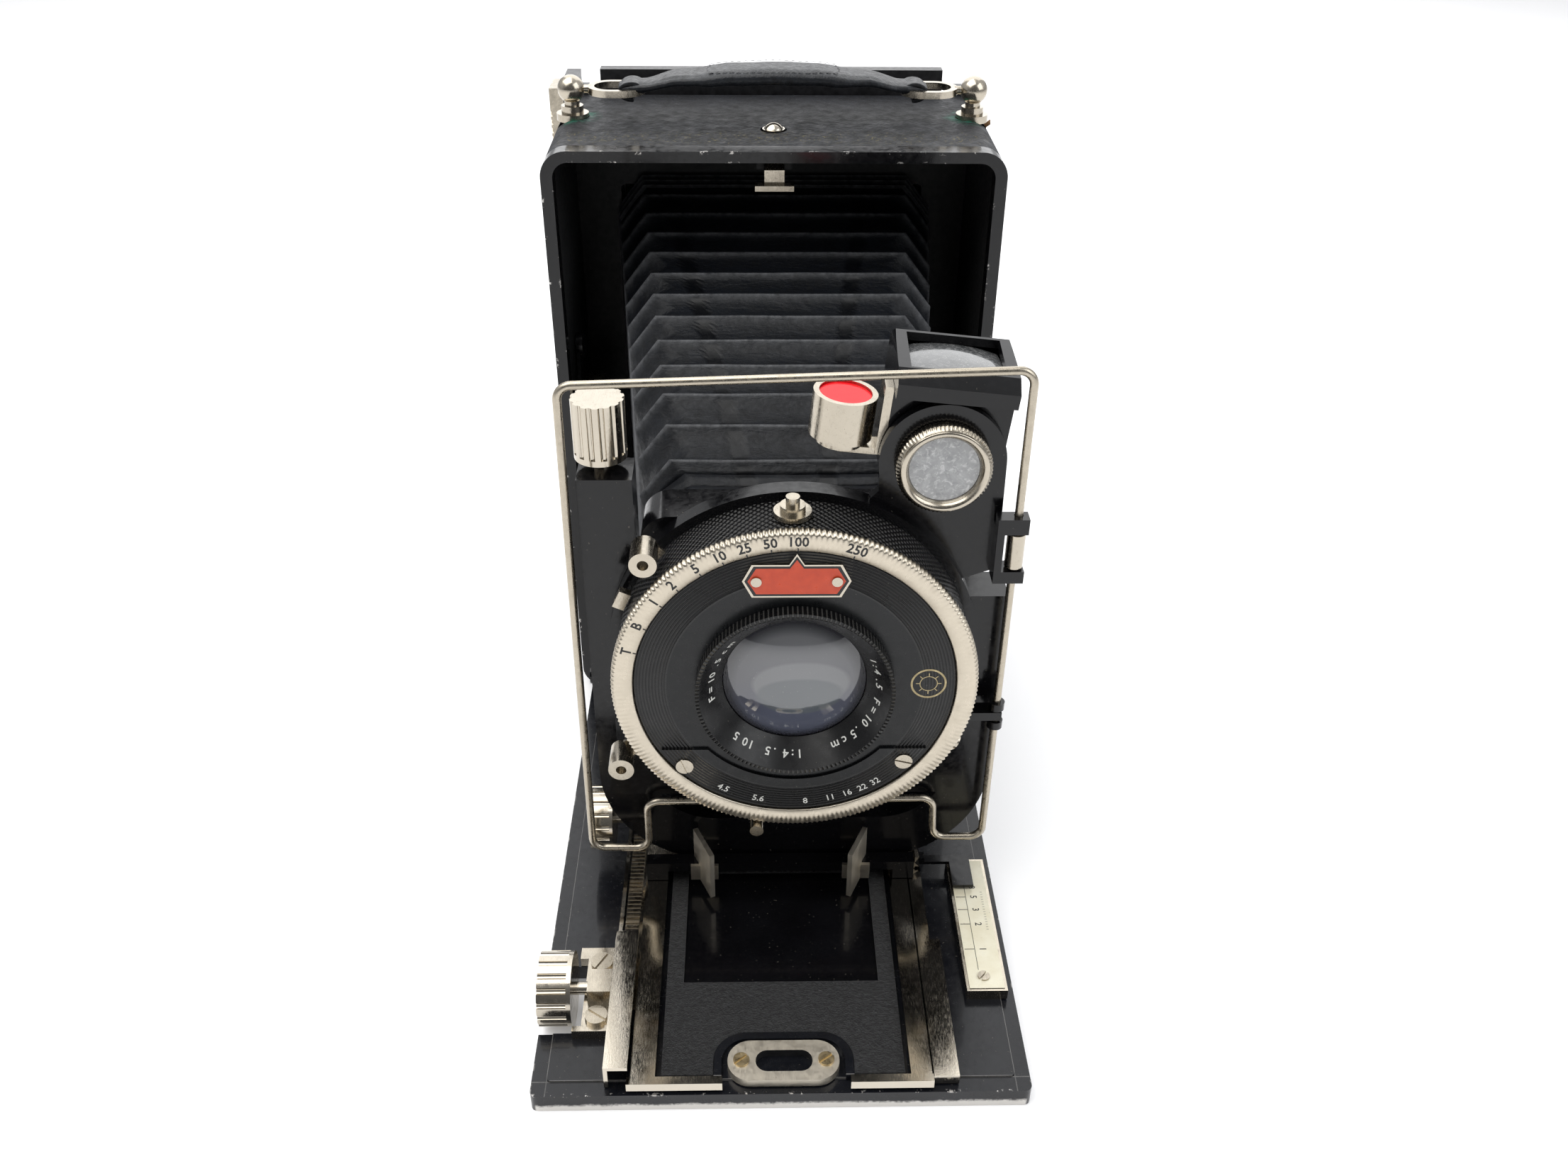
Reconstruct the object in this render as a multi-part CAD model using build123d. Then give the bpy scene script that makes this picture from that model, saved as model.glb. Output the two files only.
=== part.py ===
from build123d import *
import os, math

# Folding plate camera, 6.5 x 9 cm, standing open on its bed.
# Frame: X to the camera's left-to-right as seen from the lens side, Y from the
# front rim of the body to the rear, Z up from the surface the bed lies on.
BW, BH, BD = 88.0, 124.4, 43.0        # body width, height, depth
RIM = 3.0                              # rim width
BED_W, BED_F, BED_T = 83.0, -115.4, 4.0
LX, LZ = 2.4, 60.2                     # lens axis
RING_Y, RING_R, DIAL_R = -80.0, 30.1, 26.5
HOUS_R, HOUS_B = 29.6, -69.6
WIRE_R, WIRE_Y = 0.68, -70.0
UX = 3.1                               # standard centre in X
FX, FZ = 25.5, 95.5                    # finder axis
FTILT = 6.0                            # finder turned clockwise, degrees
TRAVEL = 34.0                          # focusing travel of the track

os.makedirs("parts", exist_ok=True)
OUT = {}
COLOURS = {}

def bx(x0, x1, y0, y1, z0, z1):
    return Pos((x0+x1)/2, (y0+y1)/2, (z0+z1)/2) * Box(abs(x1-x0), abs(y1-y0), abs(z1-z0))

def cy(r, x, y0, y1, z):               # cylinder along Y
    return Pos(x, (y0+y1)/2, z) * Rot(90, 0, 0) * Cylinder(r, abs(y1-y0))

def cx(r, x0, x1, y, z):               # cylinder along X
    return Pos((x0+x1)/2, y, z) * Rot(0, 90, 0) * Cylinder(r, abs(x1-x0))

def cz(r, x, y, z0, z1):               # cylinder along Z
    return Pos(x, y, (z0+z1)/2) * Cylinder(r, abs(z1-z0))

def xz(pts, y0, y1):                   # polygon in XZ, extruded along Y
    f = make_face(Polyline(*[(a, 0, b) for a, b in pts], close=True))
    s = extrude(f, amount=abs(y1-y0), dir=(0, 1, 0))
    return Pos(0, min(y0, y1), 0) * s

def yz(pts, x0, x1):                   # polygon in YZ, extruded along X
    f = make_face(Polyline(*[(0, a, b) for a, b in pts], close=True))
    s = extrude(f, amount=abs(x1-x0), dir=(1, 0, 0))
    return Pos(min(x0, x1), 0, 0) * s

def rr(x0, x1, z0, z1, r, y0, y1):     # rounded rectangle in XZ, extruded along Y
    sk = Plane.XZ * Pos((x0+x1)/2, (z0+z1)/2) * RectangleRounded(x1-x0, z1-z0, r)
    s = extrude(sk, amount=abs(y1-y0))
    bb = s.bounding_box()
    return Pos(0, min(y0, y1)-bb.min.Y, 0) * s

def rz(x0, x1, y0, y1, r, z0, z1):     # rounded rectangle in XY
    return Pos((x0+x1)/2, (y0+y1)/2, z0) * extrude(RectangleRounded(abs(x1-x0), abs(y1-y0), r), amount=z1-z0)

def ring(ro, ri, x, y0, y1, z):
    return cy(ro, x, y0, y1, z) - cy(ri, x, y0-1 if y0 < y1 else y0+1, y1+1 if y0 < y1 else y1-1, z)

def flutes(n, r, rc, axis, a0, a1, p, q):
    cut = []
    for i in range(n):
        t = 2*math.pi*i/n
        u, v = p+r*math.cos(t), q+r*math.sin(t)
        cut.append(cx(rc, a0, a1, u, v) if axis == 'x' else cz(rc, u, v, a0, a1))
    return cut

def put(name, *shapes, color=None):
    sol = []
    for s in shapes:
        sol += list(s.solids())
    OUT[name] = sol

H = BH
# ---------------------------------------------------------------- body
rim = rr(-44, 44, 0, H, 5, 0, 4) - rr(-41.7, 41.7, 4.3, 122.3, 3.0, -1, 5)
knu = bx(-41.75, 41.75, -1, 2.4, -1, 4.31)
rim = rim - knu
rim_lugs = [cx(1.45, a, b, -1.2, 2.1) + bx(a, b, -1.2, 3.9, 0.65 if abs(a) > 6 or b > 6 else 0.0, 3.55) for a, b in ((-41.7, -33.0), (-5.0, 5.0), (33.0, 41.7))]
rim = rim + rim_lugs
rim = rim - cx(0.85, -45, 45, -1.2, 2.1)
put('front_rim', rim)
shell = rr(-43.4, 43.4, 0.6, H-0.6, 4.4, 4, 41.5) - rr(-41.9, 41.9, 2.1, H-2.1, 3.2, 3, 40.0)
shell = shell - rr(-32.5, 32.5, 17.5, 106.5, 1.0, 39, 42.5)
shell = shell - cz(2.6, 0, 15.3, 120, 126) - [cz(1.45, sx*40.0, 24.5, 120, 126) for sx in (-1, 1)]
shell = shell - cx(5.8, -46, -41, 24.0, 62.2)
put('body_shell', shell)
lea = rr(-44, 44, 0, H, 5, 4, 41.5) - rr(-43.4, 43.4, 0.6, H-0.6, 4.4, 3, 42.5)
lea = lea - cz(2.6, 0, 15.3, 120, 126) - [cz(3.3, sx*40.0, 24.5, 120, 126) for sx in (-1, 1)]
lea = lea - cx(7.45, -46, -42, 24.0, 62.2)
put('body_leather', lea)
bush = cx(7.4, -44.0, -43.4, 24.0, 62.2) + cx(5.8, -43.45, -37.0, 24.0, 62.2) - cx(4.7625, -45, -38.0, 24.0, 62.2)
sbush = bush
# release button and catch
put('release_button', cz(2.2, 0, 15.3, 118.0, 124.6) + Pos(0, 15.3, 124.6)*Sphere(2.2, arc_size1=0, arc_size2=90))
hook = bx(-1.9, 1.9, 2.6, 15.0, 119.2, 120.2) + bx(-1.9, 1.9, 2.6, 3.6, 117.3, 120.2) + bx(-3.7, 3.7, 1.2, 3.6, 116.6, 117.6)
hook = hook + cx(1.3, -1.9, 1.9, 9.0, 119.8) - cx(0.55, -3, 3, 9.0, 119.8) - cz(2.21, 0, 15.3, 117, 123)
put('bed_catch', hook)
cb = [bx(a, b, 7.9, 10.1, 118.8, 122.4) for a, b in ((-3.4, -2.1), (2.1, 3.4))]
# handle
lug = []
for sx in (-1, 1):
    l = cz(3.2, sx*40.0, 24.5, 123.8, 125.2) + cz(2.2, sx*40.0, 24.5, 125.2, 126.6) + cz(1.5, sx*40, 24.5, 126.6, 128.0) + Pos(sx*40, 24.5, 129.7)*Sphere(2.7) + cz(1.4, sx*40, 24.5, 122.9, 123.9)
    l = l - cx(0.86, sx*40-3, sx*40+3, 24.5, 129.7)
    lug.append(l)
put('handle_lugs', *lug)
rings = []
for sx in (-1, 1):
    rg2 = Pos(sx*31.0, 24.5, 129.7) * (Pos(0, 0, -0.65)*extrude(SlotOverall(11.4, 9.2), amount=1.3) - Pos(0, 0, -2)*extrude(SlotOverall(8.8, 6.6), amount=4))
    rg2 = rg2 + cx(0.8, min(sx*36.2, sx*41.0), max(sx*36.2, sx*41.0), 24.5, 129.7)
    rings.append(rg2)
put('handle_rings', *rings)
pts_top = [(-30.5, 130.9), (-26, 131.5), (-18, 133.3), (-8, 134.3), (8, 134.3), (18, 133.3), (26, 131.5), (30.5, 130.9)]
pts_bot = [(30.5, 129.9-1.6), (26, 128.6), (18, 130.0), (8, 131.0), (-8, 131.0), (-18, 130.0), (-26, 128.6), (-30.5, 128.3)]
strap = xz(pts_top + pts_bot, 18.8, 30.2)
for sx in (-1, 1):
    strap = strap - rings[0 if sx < 0 else 1] - bx(min(sx*29.2, sx*31), max(sx*29.2, sx*31), 21.3, 27.7, 120, 140)
strap = strap & rz(-30.5, 30.5, 18.8, 30.2, 5.0, 120, 140)
put('handle_strap', strap)
# bed struts
st = []
for sx in (-1, 1):
    a = (14.7, 80.0); b = (-6.2, 8.0)
    L = math.hypot(b[0]-a[0], b[1]-a[1]); ang = math.degrees(math.atan2(b[1]-a[1], b[0]-a[0]))
    bar = Pos(sx*41.1, (a[0]+b[0])/2, (a[1]+b[1])/2) * Rot(ang, 0, 0) * Box(0.7, L, 2.4)
    bar = bar + cx(2.2, min(sx*40.75, sx*41.45), max(sx*40.75, sx*41.45), a[0], a[1]) + cx(2.2, min(sx*40.75, sx*41.45), max(sx*40.75, sx*41.45), b[0], b[1])
    bar = bar - cx(0.8, sx*41.1-2, sx*41.1+2, a[0], a[1]) - cx(0.8, sx*41.1-2, sx*41.1+2, b[0], b[1])
    st.append(bar)
put('bed_struts', *st)
sv = []
for sx in (-1, 1):
    q = cx(0.8, min(sx*40.1, sx*42.2), max(sx*40.1, sx*42.2), 14.7, 80.0) + cx(2.6, min(sx*40.1, sx*40.8), max(sx*40.1, sx*40.8), 14.7, 80.0)
    sv.append(q)
    q = cx(0.8, min(sx*39.9, sx*41.5), max(sx*39.9, sx*41.5), -6.2, 8.0) + cx(1.8, min(sx*39.9, sx*40.7), max(sx*39.9, sx*40.7), -6.2, 8.0)
    sv.append(q)
srv = sv
shell = shell - [cx(0.8, -42.2, -41.0, 14.7, 80.0), cx(0.8, 41.0, 42.2, 14.7, 80.0)]
shell = shell + (rr(-41.95, 41.95, 2.05, H-2.05, 3.0, 38.6, 40.05) - rr(-32.5, 32.5, 17.5, 106.5, 1.0, 38, 41))
shell = shell + cb
put('body_shell', *shell.solids())
put('bed_struts', *[(a + b) + c for a, b, c in zip(st, sv[0::2], sv[1::2])])

# ---------------------------------------------------------------- rear
put('back_rails', *[bx(a, b, 41.5, 47.4, 3, 122.5) - bx(c, d, 42.9, 46.1, 2, 123) for a, b, c, d in ((-41, -36.6, -38.1, -36.0), (36.6, 41, 36.0, 38.1))], bx(-36.5, 36.5, 41.5, 47.4, 3.0, 5.6))
fb = bx(-38.0, 38.0, 43.0, 46.0, 5.7, 122.4) - bx(-36.3, -40, 40, 50, 122.4, 140)
fb = bx(-38.0, 38.0, 43.0, 46.0, 5.7, 122.4) + bx(-36.0, 36.0, 43.0, 46.0, 122.4, 129.2) + bx(-36.0, 36.0, 46.0, 49.0, 8.0, 120.0)
fb = fb - bx(-32.0, 32.0, 42, 44.6, 18, 106) - bx(-33.5, 33.5, 44.6, 46.2, 16.5, 107.5) - bx(-31, 31, 46, 50, 19, 105)
put('focusing_back', fb)
put('ground_glass', bx(-33.4, 33.4, 44.6, 45.9, 16.6, 107.4))
hb = bx(-35, 35, 49.0, 54.0, 12, 112) - bx(-33.8, 33.8, 48, 52.8+2, 13.2, 110.8)
put('focusing_hood', bx(-35, 35, 49.0, 53.6, 12, 110.4) - bx(-31, 31, 48, 55, 19, 105))
hc = bx(-35, 35, 53.9, 55.1, 12, 113.0) + cx(1.4, -30, 30, 52.2, 113.2) + bx(-30, 30, 52.2, 55.1, 111.9, 114.5)
hc = hc - cx(0.6, -31, 31, 52.2, 113.2)
hc = hc - bx(-30.1, 30.1, 50.0, 53.8, 109, 111.75)
put('hood_cover', hc)
ears = [bx(a, b, 49.0, 53.6, 110.5, 114.7) - cx(0.55, -40, 40, 52.2, 113.2) for a, b in ((-32.6, -30.4), (30.4, 32.6))]
ears = [e + bx(a, b, 49.0, 50.4, 107.0, 110.6) for e, (a, b) in zip(ears, ((-32.6, -30.4), (30.4, 32.6)))]
OUT['hood_cover'] = list((hc - [bx(-32.9, -30.1, 48, 54.3, 109, 116), bx(30.1, 32.9, 48, 54.3, 109, 116), bx(-35.1, 35.1, 53.0, 53.95, 1, 111)]).solids())
hears = ([bx(a, b, 49.0, 53.6, 110.5, 114.7) - cx(0.55, -40, 40, 52.2, 113.2) for a, b in ((-32.6, -30.4), (30.4, 32.6))])
hpin = cx(0.55, -32.6, 32.6, 52.2, 113.2)
OUT['focusing_hood'] = OUT['focusing_hood'] + [q.solids()[0] for q in hears] + list(hpin.solids())
lock = bx(-47.2, -44.05, 44.0, 52.5, 112.5, 125.0)
for i in range(7):
    lock = lock - Pos(-47.3, 48.2, 113.4+1.75*i) * Rot(45, 0, 0) * Box(0.9, 14, 0.75)
put('back_lock', lock)
lplate = (bx(-44.0, -41.1, 42.0, 53.0, 109.5, 127.0) + bx(-47.4, -44.0, 43.6, 53.0, 108.6, 110.0) )
clips = [bx(a, b, 41.5, 43.9, 122.55, 126.3) for a, b in ((-40.9, -38.4), (38.4, 43.0))]

OUT['back_rails'] = OUT['back_rails'] + [q.solids()[0] for q in clips] + list(lplate.solids())

# ---------------------------------------------------------------- bed
bed = rz(-41.5, 41.5, BED_F, -0.3, 1.2, 0.9, 3.7) + rz(-39.0, 39.0, BED_F+2.8, -3.2, 0.8, 3.6, BED_T)
bed = bed + (rz(-41.5, 41.5, BED_F, -0.3, 1.2, 0, 1.0) - rz(-39.9, 39.9, BED_F+1.6, -4.5, 1.0, -1, 1.0))
bed = bed - bx(-42, -34.2, -103.0, -88.4, -1, 5)
bed = bed - bx(-42, 42, -2.9, 0, -1, 5) + bx(-32.8, -5.2, -3.2, -1.2, 0.7, 3.55) + bx(5.2, 32.8, -3.2, -1.2, 0.7, 3.55)
bed = bed + cx(1.4, -32.8, -5.2, -1.2, 2.1) + cx(1.4, 5.2, 32.8, -1.2, 2.1) - cx(0.85, -45, 45, -1.2, 2.1)
bed = bed - cz(5.8, 0, -38, -1, 5)
put('bed_plate', bed)
put('bed_leather', rz(-39.8, 39.8, BED_F+1.7, -4.6, 1.0, 0, 0.9) - bx(-42, -32.6, -104.6, -86.8, -1, 2) - cz(8.05, 0, -38, -1, 2))
put('bed_hinge_pin', cx(0.84, -41.7, 41.7, -1.2, 2.1))
tb = cz(8.0, 0, -38, 0, 0.9) + cz(5.8, 0, -38, 0.85, 5.0) - cz(4.7625, 0, -38, -1, 4.2)
put('tripod_bushes', tb, sbush)
ins = bx(-20.0, 20.6, -112.4, -58.5, 4.0, 4.9) - bx(-17.0, 17.6, -93.0, -66.0, 4.45, 6) - rz(-11.4, 12.2, -119, -103.9, 5.5, 3.9, 6)
put('bed_insert', ins)
guides = [bx(-29.3, -28.6, -84.5, -6, 4, 5.95), bx(25.2, 27.6, -84.5, -6, 4, 5.95)]
cl = bx(-29.3, -25.3, -114, -84.5, 4, 8.9) - bx(-28.6, -25.0, -115, -84, 3.9, 8.2)
cl = cl - cx(1.3, -30, -28, -95.8, 7.0)
cr = bx(25.2, 29.4, -114, -84.5, 4, 6.0)
brl = [bx(a, b, 4.0, 38.0, 2.1, 6.0) + bx(a, b, 0.6, 4.2, 4.4, 6.0) for a, b in ((-25.0, -20.9), (21.4, 24.9))]
put('bed_guides', guides[0] + cl, guides[1] + cr, *brl)
kb = bx(-35.6, -29.3, -104.2, -85.8, 4, 6.0) + bx(-33.4, -29.3, -98.3, -93.3, 4, 9.0) - bx(-35.7, -34.1, -103.1, -88.3, 3, 10)
kb = kb - cx(1.26, -36, -29, -95.8, 7.0) - [cz(0.9, -31.6, y, 4, 7) for y in (-89.6, -101.4)]
put('knob_bracket', kb)
def slotted(r, x, y, z0, z1, a, rs):
    h = cz(r, x, y, z0, z1) - Pos(x, y, z1) * Rot(0, 0, a) * Box(2*r+1, 0.4, 0.7)
    return h + cz(rs, x, y, z0-1.6, z0)
bscr = (slotted(1.95, -31.6, -89.6, 6.0, 6.9, 60, 0.9), slotted(1.95, -31.6, -101.4, 6.0, 6.9, -35, 0.9))
esc = rz(-9.0, 9.7, -114.2, -106.2, 3.9, 4.0, 5.6) - rz(-4.3, 5.2, -112.4, -108.2, 2.0, 3, 7) - [cz(0.8, x, -110.2, 3, 7) for x in (-6.7, 7.5)]
put('catch_plate', esc)
cscr = ([slotted(1.35, x, -110.2, 5.6, 6.0, a, 0.8) for x, a in ((-6.7, 40), (7.5, 35))])
border = (rz(-11.3, 12.1, -119, -104.0, 5.4, 3.8, 4.9) - rz(-10.0, 10.7, -119, -105.3, 4.4, 3, 6)) & bx(-20, 20, -112.9, -100, 3, 6)
OUT['bed_plate'] = list((bed + border).solids())
sc = bx(32.9, 40.1, -96.6, -64.4, 4.0, 6.1) - bx(33.4, 39.6, -96.1, -64.9, 5.6, 7) - cz(0.6, 36.2, -93.5, 3, 7)
put('distance_scale', sc, bx(33.4, 39.6, -96.1, -64.9, 5.6, 6.25) - cz(0.6, 36.2, -93.5, 3, 7))
sscr = (slotted(1.05, 36.2, -93.5, 6.25, 6.6, 50, 0.6))
put('bed_screws', *bscr, *cscr, sscr)
# focusing track, sliding forward on the bed
tr = bx(-25.0, -20.9, -113.6, -9.0, 4.3, 6.0) + bx(21.4, 24.9, -113.6, -9.0, 4.3, 6.0) + bx(-25.0, 24.9, -16, -9.0, 5.3, 6.0) + bx(-25.0, 24.9, -57.6, -52.0, 5.2, 6.0)
tr = tr + bx(-28.2, -24.9, -99, -56, 4.3, 5.0) 
tr = tr + bx(-25.6, -9.8, -115.0, -113.5, 4.3, 6.0) + bx(11.4, 25.1, -115.0, -113.5, 4.3, 6.0)
rk = bx(-28.2, -25.7, -99, -56, 5.0, 5.5)
for i in range(43):
    rk = rk + bx(-28.2, -25.7, -98.8+i, -98.35+i, 5.4, 5.95)
put('focus_track', tr + rk)
# focus knob and pinion
kn = cx(6.4, -41.6, -35.8, -95.8, 7.0) - flutes(16, 6.5, 0.55, 'x', -42, -36.6, -95.8, 7.0)
kn = kn - cx(1.1, -43, -30, -95.8, 7.0)
put('focus_knob', kn + cx(1.12, -41.6, -28.4, -95.8, 7.0) + cx(1.0, -28.5, -25.8, -95.8, 7.05))
# carriage on the track
yb = -66.0
ca = bx(-24.8, 26.0, -69.2, -66.6, 6.15, 10.4) - bx(-20.8, 22.0, -70, -66, 6.0, 8.4)
ca = ca + bx(-24.8, 26.0, -66.6, -52.8, 6.1, 7.3)
cbase = bx(-25.0, 26.6, -66.5, -46.0, 6.1, 7.4) + bx(26.55, 27.4, -66.5, -58.0, 6.5, 8.9)
gr = []
for gx, s in ((-13.8, -1), (14.9, 1)):
    g = Pos(gx, -70.6, 12.0) * Rot(0, 0, -s*24) * (Box(0.9, 8.0, 10.6))
    g = g + Pos(gx-s*1.6, -67.4, 0)*Box(0.1, 0.1, 0.1) if False else g
    gr.append(g & bx(-40, 40, -80, -66.7, 6.5, 18.0))
gl = []
for g, gx in zip(gr, (-13.8, 14.9)):
    gl.append((g + bx(gx-2.6, gx+2.6, -69.9, -69.25, 6.9, 10.4)) - bx(-40, 40, -69.2, -60, 0, 10.5))
put('carriage_bar', ca - bx(-40, 40, -66.6, -40, 0, 20), *gl)
ptr = (bx(27.3, 37.1, -66.4, -64.6, 6.9, 7.6) + bx(33.2, 37.1, -72.6, -64.6, 6.9, 7.6) + bx(27.45, 28.4, -66.4, -64.6, 6.9, 8.5))
stub = cx(0.9, 27.3, 29.4, -61.0, 7.8)
brk = bx(-2, 8, -58.2, -56.5, 7.3, 17.4) + bx(-2, 8, -63.6, -56.6, 13.0, 17.4) - cx(1.31, -10, 20, -61.5, 15.4)
put('carriage_base', cbase + ptr + stub + brk)
# shift screw turns in the carriage and moves the standard sideways
SY, SZ = -61.5, 15.4
ssc = cx(1.25, -31.1, 13.0, SY, SZ)
sk = cx(6.1, -35.4, -31.0, SY, SZ) - flutes(16, 6.2, 0.5, 'x', -36, -31.6, SY, SZ)
put('shift_knob', sk + ssc)
# ---------------------------------------------------------------- standard (U frame)
def uprof(x0, x1, zb, r, zt):
    return rr(x0, x1, zb, zt+40, r, 0, 1)
def top_cut(d):
    return bx(-60, 60, -70, -50, 91.5-d, 300), bx(20, 60, -70, -50, 69.0-d, 300)
U = rr(-32.6, 38.8, 8.2, 200, 22.0, -66.0, -58.4) - rr(-23.6, 31.0, 19.0, 200, 12.0, -67, -57) - top_cut(0)[0] - top_cut(0)[1]
Upk = rr(-31.4, 37.6, 9.4, 200, 20.8, -64.8, -57) - rr(-24.8, 32.2, 17.8, 200, 13.2, -68, -56) - top_cut(1.2)[0] - top_cut(1.2)[1]
U = U - Upk - cz(1.3, -28.8, -61.0, 80, 95) - bx(-25.2, -23.2, -62.7, -59.3, 36.5, 56) - cx(1.31, -34, -20, SY, SZ)
put('standard_frame', U)
sb = bx(-18.0, 21.4, -56.2, -46.4, 7.6, 9.6) + bx(-18, -6, -58.4, -56.0, 8.6, 15.0) + bx(12, 21.4, -58.4, -56.0, 8.6, 15.0)
put('standard_foot', sb)
# rise screw and knob
rsc = cz(1.22, -28.8, -61.0, 34.0, 93.5)
rk2 = cz(4.3, -28.8, -61.0, 93.4, 103.6) - flutes(14, 4.5, 0.55, 'z', 94.4, 104, -28.8, -61.0)
put('rise_knob', rk2 + rsc)
# ---------------------------------------------------------------- lens board
lb = cy(31.2, LX, -68.0, -66.3, LZ) + bx(-28.8, 33.6, -68.0, -66.3, 27.0, 52.0)
lb = lb + xz([(12, 86.5), (15.6, 90.6), (15.6, 95.5), (35.6, 95.5), (35.8, 76.0), (30.4, 74.0), (24, 78)], -68.0, -66.3)
lb = lb + cy(10.1, FX, -68.0, -66.3, FZ) - cy(6.28, FX, -70, -60, FZ)
lb = lb + ring(31.2, 27.0, LX, -68.0, HOUS_B, LZ)
lb = lb + (rr(-22.8, 29.8, 30.0, 85.0, 5, -66.4, -57.4) - rr(-21.4, 28.4, 31.4, 83.6, 4, -66.3, -50))
lb = lb - cy(20.0, LX, -70, -60, LZ) if False else lb - cy(15.0, LX, -70, -60, LZ)
nut = bx(-26.5, -22.6, -62.2, -59.8, 40.0, 46.0) + bx(-31.0, -26.4, -63.4, -58.7, 40.0, 46.0) - cz(1.28, -28.8, -61.0, 30, 60)
put('lens_board', lb + nut)
# shutter
hz = cy(HOUS_R, LX, HOUS_B, -78.0, LZ) - cy(HOUS_R-1.6, LX, HOUS_B-1.4, -79, LZ) - cy(15.0, LX, -66, -80, LZ)
put('shutter_housing', hz)
face = (cy(26.35, LX, -78.05, -79.6, LZ) - cy(14.6, LX, -77, -81, LZ) - [cy(0.8, LX+dx, -77, -81, LZ+dz) for dx, dz in ((-18.5, -16.0), (18.6, -15.2))])
put('speed_ring', ring(RING_R, DIAL_R, LX, -78.1, RING_Y, LZ))
cres = cy(25.6, LX, -79.6, -80.1, LZ) - cy(19.2, LX, -79, -81, LZ)
cres = cres & xz([(LX-30, 20), (LX+30, 20), (LX+30, LZ-12.6), (LX-30, LZ-12.6)], -79, -81)
cres = cres - [cy(0.8, LX+dx, -79, -81, LZ+dz) for dx, dz in ((-18.5, -16.0), (18.6, -15.2))]
put('shutter_face', face, cres)
scr = []
for dx, dz, a in ((-18.5, -16.0, 70), (18.6, -15.2, 15)):
    s = cy(1.5, LX+dx, -80.1, -80.5, LZ+dz) - Pos(LX+dx, -80.5, LZ+dz) * Rot(0, a, 0) * Box(4, 0.4, 0.35)
    scr.append(s + cy(0.78, LX+dx, -78.3, -80.15, LZ+dz))
put('index_plate', xz([(LX-8.5, LZ+21.2), (LX-7, LZ+18.2), (LX+7, LZ+18.2), (LX+8.5, LZ+21.2), (LX+7, LZ+24.2), (LX+1.2, LZ+24.2), (LX, LZ+26.2), (LX-1.2, LZ+24.2), (LX-7, LZ+24.2)], -79.6, -80.1))
put('dial_fasteners', *scr, cy(0.85, LX-6.3, -80.1, -80.45, LZ+21.2), cy(0.85, LX+6.3, -80.1, -80.45, LZ+21.2))
put('lens_barrel', cy(16.3, LX, -79.7, -82.0, LZ) + cy(14.55, LX, -73.0, -79.75, LZ) - Pos(LX, -82.0, LZ)*Rot(90, 0, 0)*Cone(11.9, 15.6, 4.4, align=(Align.CENTER, Align.CENTER, Align.MAX)) - cy(11.9, LX, -70, -83, LZ))
gl = cy(11.8, LX, -75.0, -77.4, LZ)
dome = Pos(LX, -77.4+24.0, LZ)*Sphere(26.8) & cy(11.8, LX, -77.3, -84, LZ)
fglass = gl + dome
blades = cy(11.6, LX, -73.0, -73.5, LZ)
gearp = ring(27.6, 11.8, LX, -71.2, -72.2, LZ)
put('shutter_blades', blades, ring(27.6, 11.8, LX, -71.2, -72.2, LZ))
put('iris_ring', ring(14.0, 7.5, LX, -70.2, -70.9, LZ))
cell = (cy(13.0, LX, -60.0, -69.5, LZ) - cy(10.6, LX, -59, -71, LZ))
rglass = cy(10.55, LX, -60.8, -64.6, LZ)
put('rear_cell', cell, ring(17.5, 13.05, LX, -64.4, -66.3, LZ) + ring(14.9, 13.05, LX, -66.25, -69.6, LZ))
put('lens_elements', fglass, rglass)
# levers and studs
def lever(ang0, r0, r1, rk, y0, y1):
    a = math.radians(ang0)
    c, s_ = math.sin(a), math.cos(a)
    w = 2.2
    arm = Pos(LX+c*(r0+r1)/2, -77.6, LZ+s_*(r0+r1)/2) * Rot(0, ang0, 0) * Box(w*2, 0.5, r1-r0)
    arm = arm - ring(29.9, 1, LX, -70, -79, LZ)
    k = cy(rk, LX+c*r1, y0, y1, LZ+s_*r1) - cy(0.9, LX+c*r1, y0-1.5, y0+0.5, LZ+s_*r1)
    return arm + k
def arm_lever(ang, rk_r, ln, y0=-71.6, y1=-78.4):
    a = math.radians(ang); c, s = math.sin(a), math.cos(a)
    arm = Pos(LX+c*(30.4+rk_r)/2, -73.2, LZ+s*(30.4+rk_r)/2) * Rot(0, ang, 0) * Box(3.6, 0.6, rk_r-30.4)
    arm = arm - cy(29.9, LX, -70, -80, LZ)
    kn = cy(2.2, LX+c*rk_r, y0, y1, LZ+s*rk_r) - cy(0.9, LX+c*rk_r, y1+1.8, y1-0.5, LZ+s*rk_r)
    return arm + kn
put('cocking_lever', arm_lever(-46.0, 33.2, 0, -72.9, -78.4))
put('release_lever', arm_lever(-122.0, 34.8, 0, -72.9, -78.4))
a = math.radians(-65)
sl = Pos(LX+math.sin(a)*31.0, -72.6, LZ+math.cos(a)*31.0) * Rot(0, -65, 0) * Box(3.2, 1.6, 2.0) - cy(29.9, LX, -70, -80, LZ)
put('self_timer_lever', sl)
ts = cz(3.0, LX-0.6, -74.2, LZ+29.75, LZ+30.6) + cz(2.0, LX-0.6, -74.2, LZ+30.6, LZ+31.6) + cz(1.1, LX-0.6, -74.2, LZ+31.6, LZ+33.0)
tstud = ts - cy(29.65, LX, -70, -80, LZ)
a = math.radians(-168.3)
put('aperture_lever', (Pos(LX+math.sin(a)*31.1, -77.2, LZ+math.cos(a)*31.1) * Rot(0, -168.3, 0) * Box(2.2, 1.2, 2.2) + Pos(LX+math.sin(a)*31.3, -78.9, LZ+math.cos(a)*31.3) * Rot(90, 0, 0) * Cylinder(1.2, 3.6)) - cy(30.25, LX, -70, -83, LZ))
a = math.radians(120)
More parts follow.
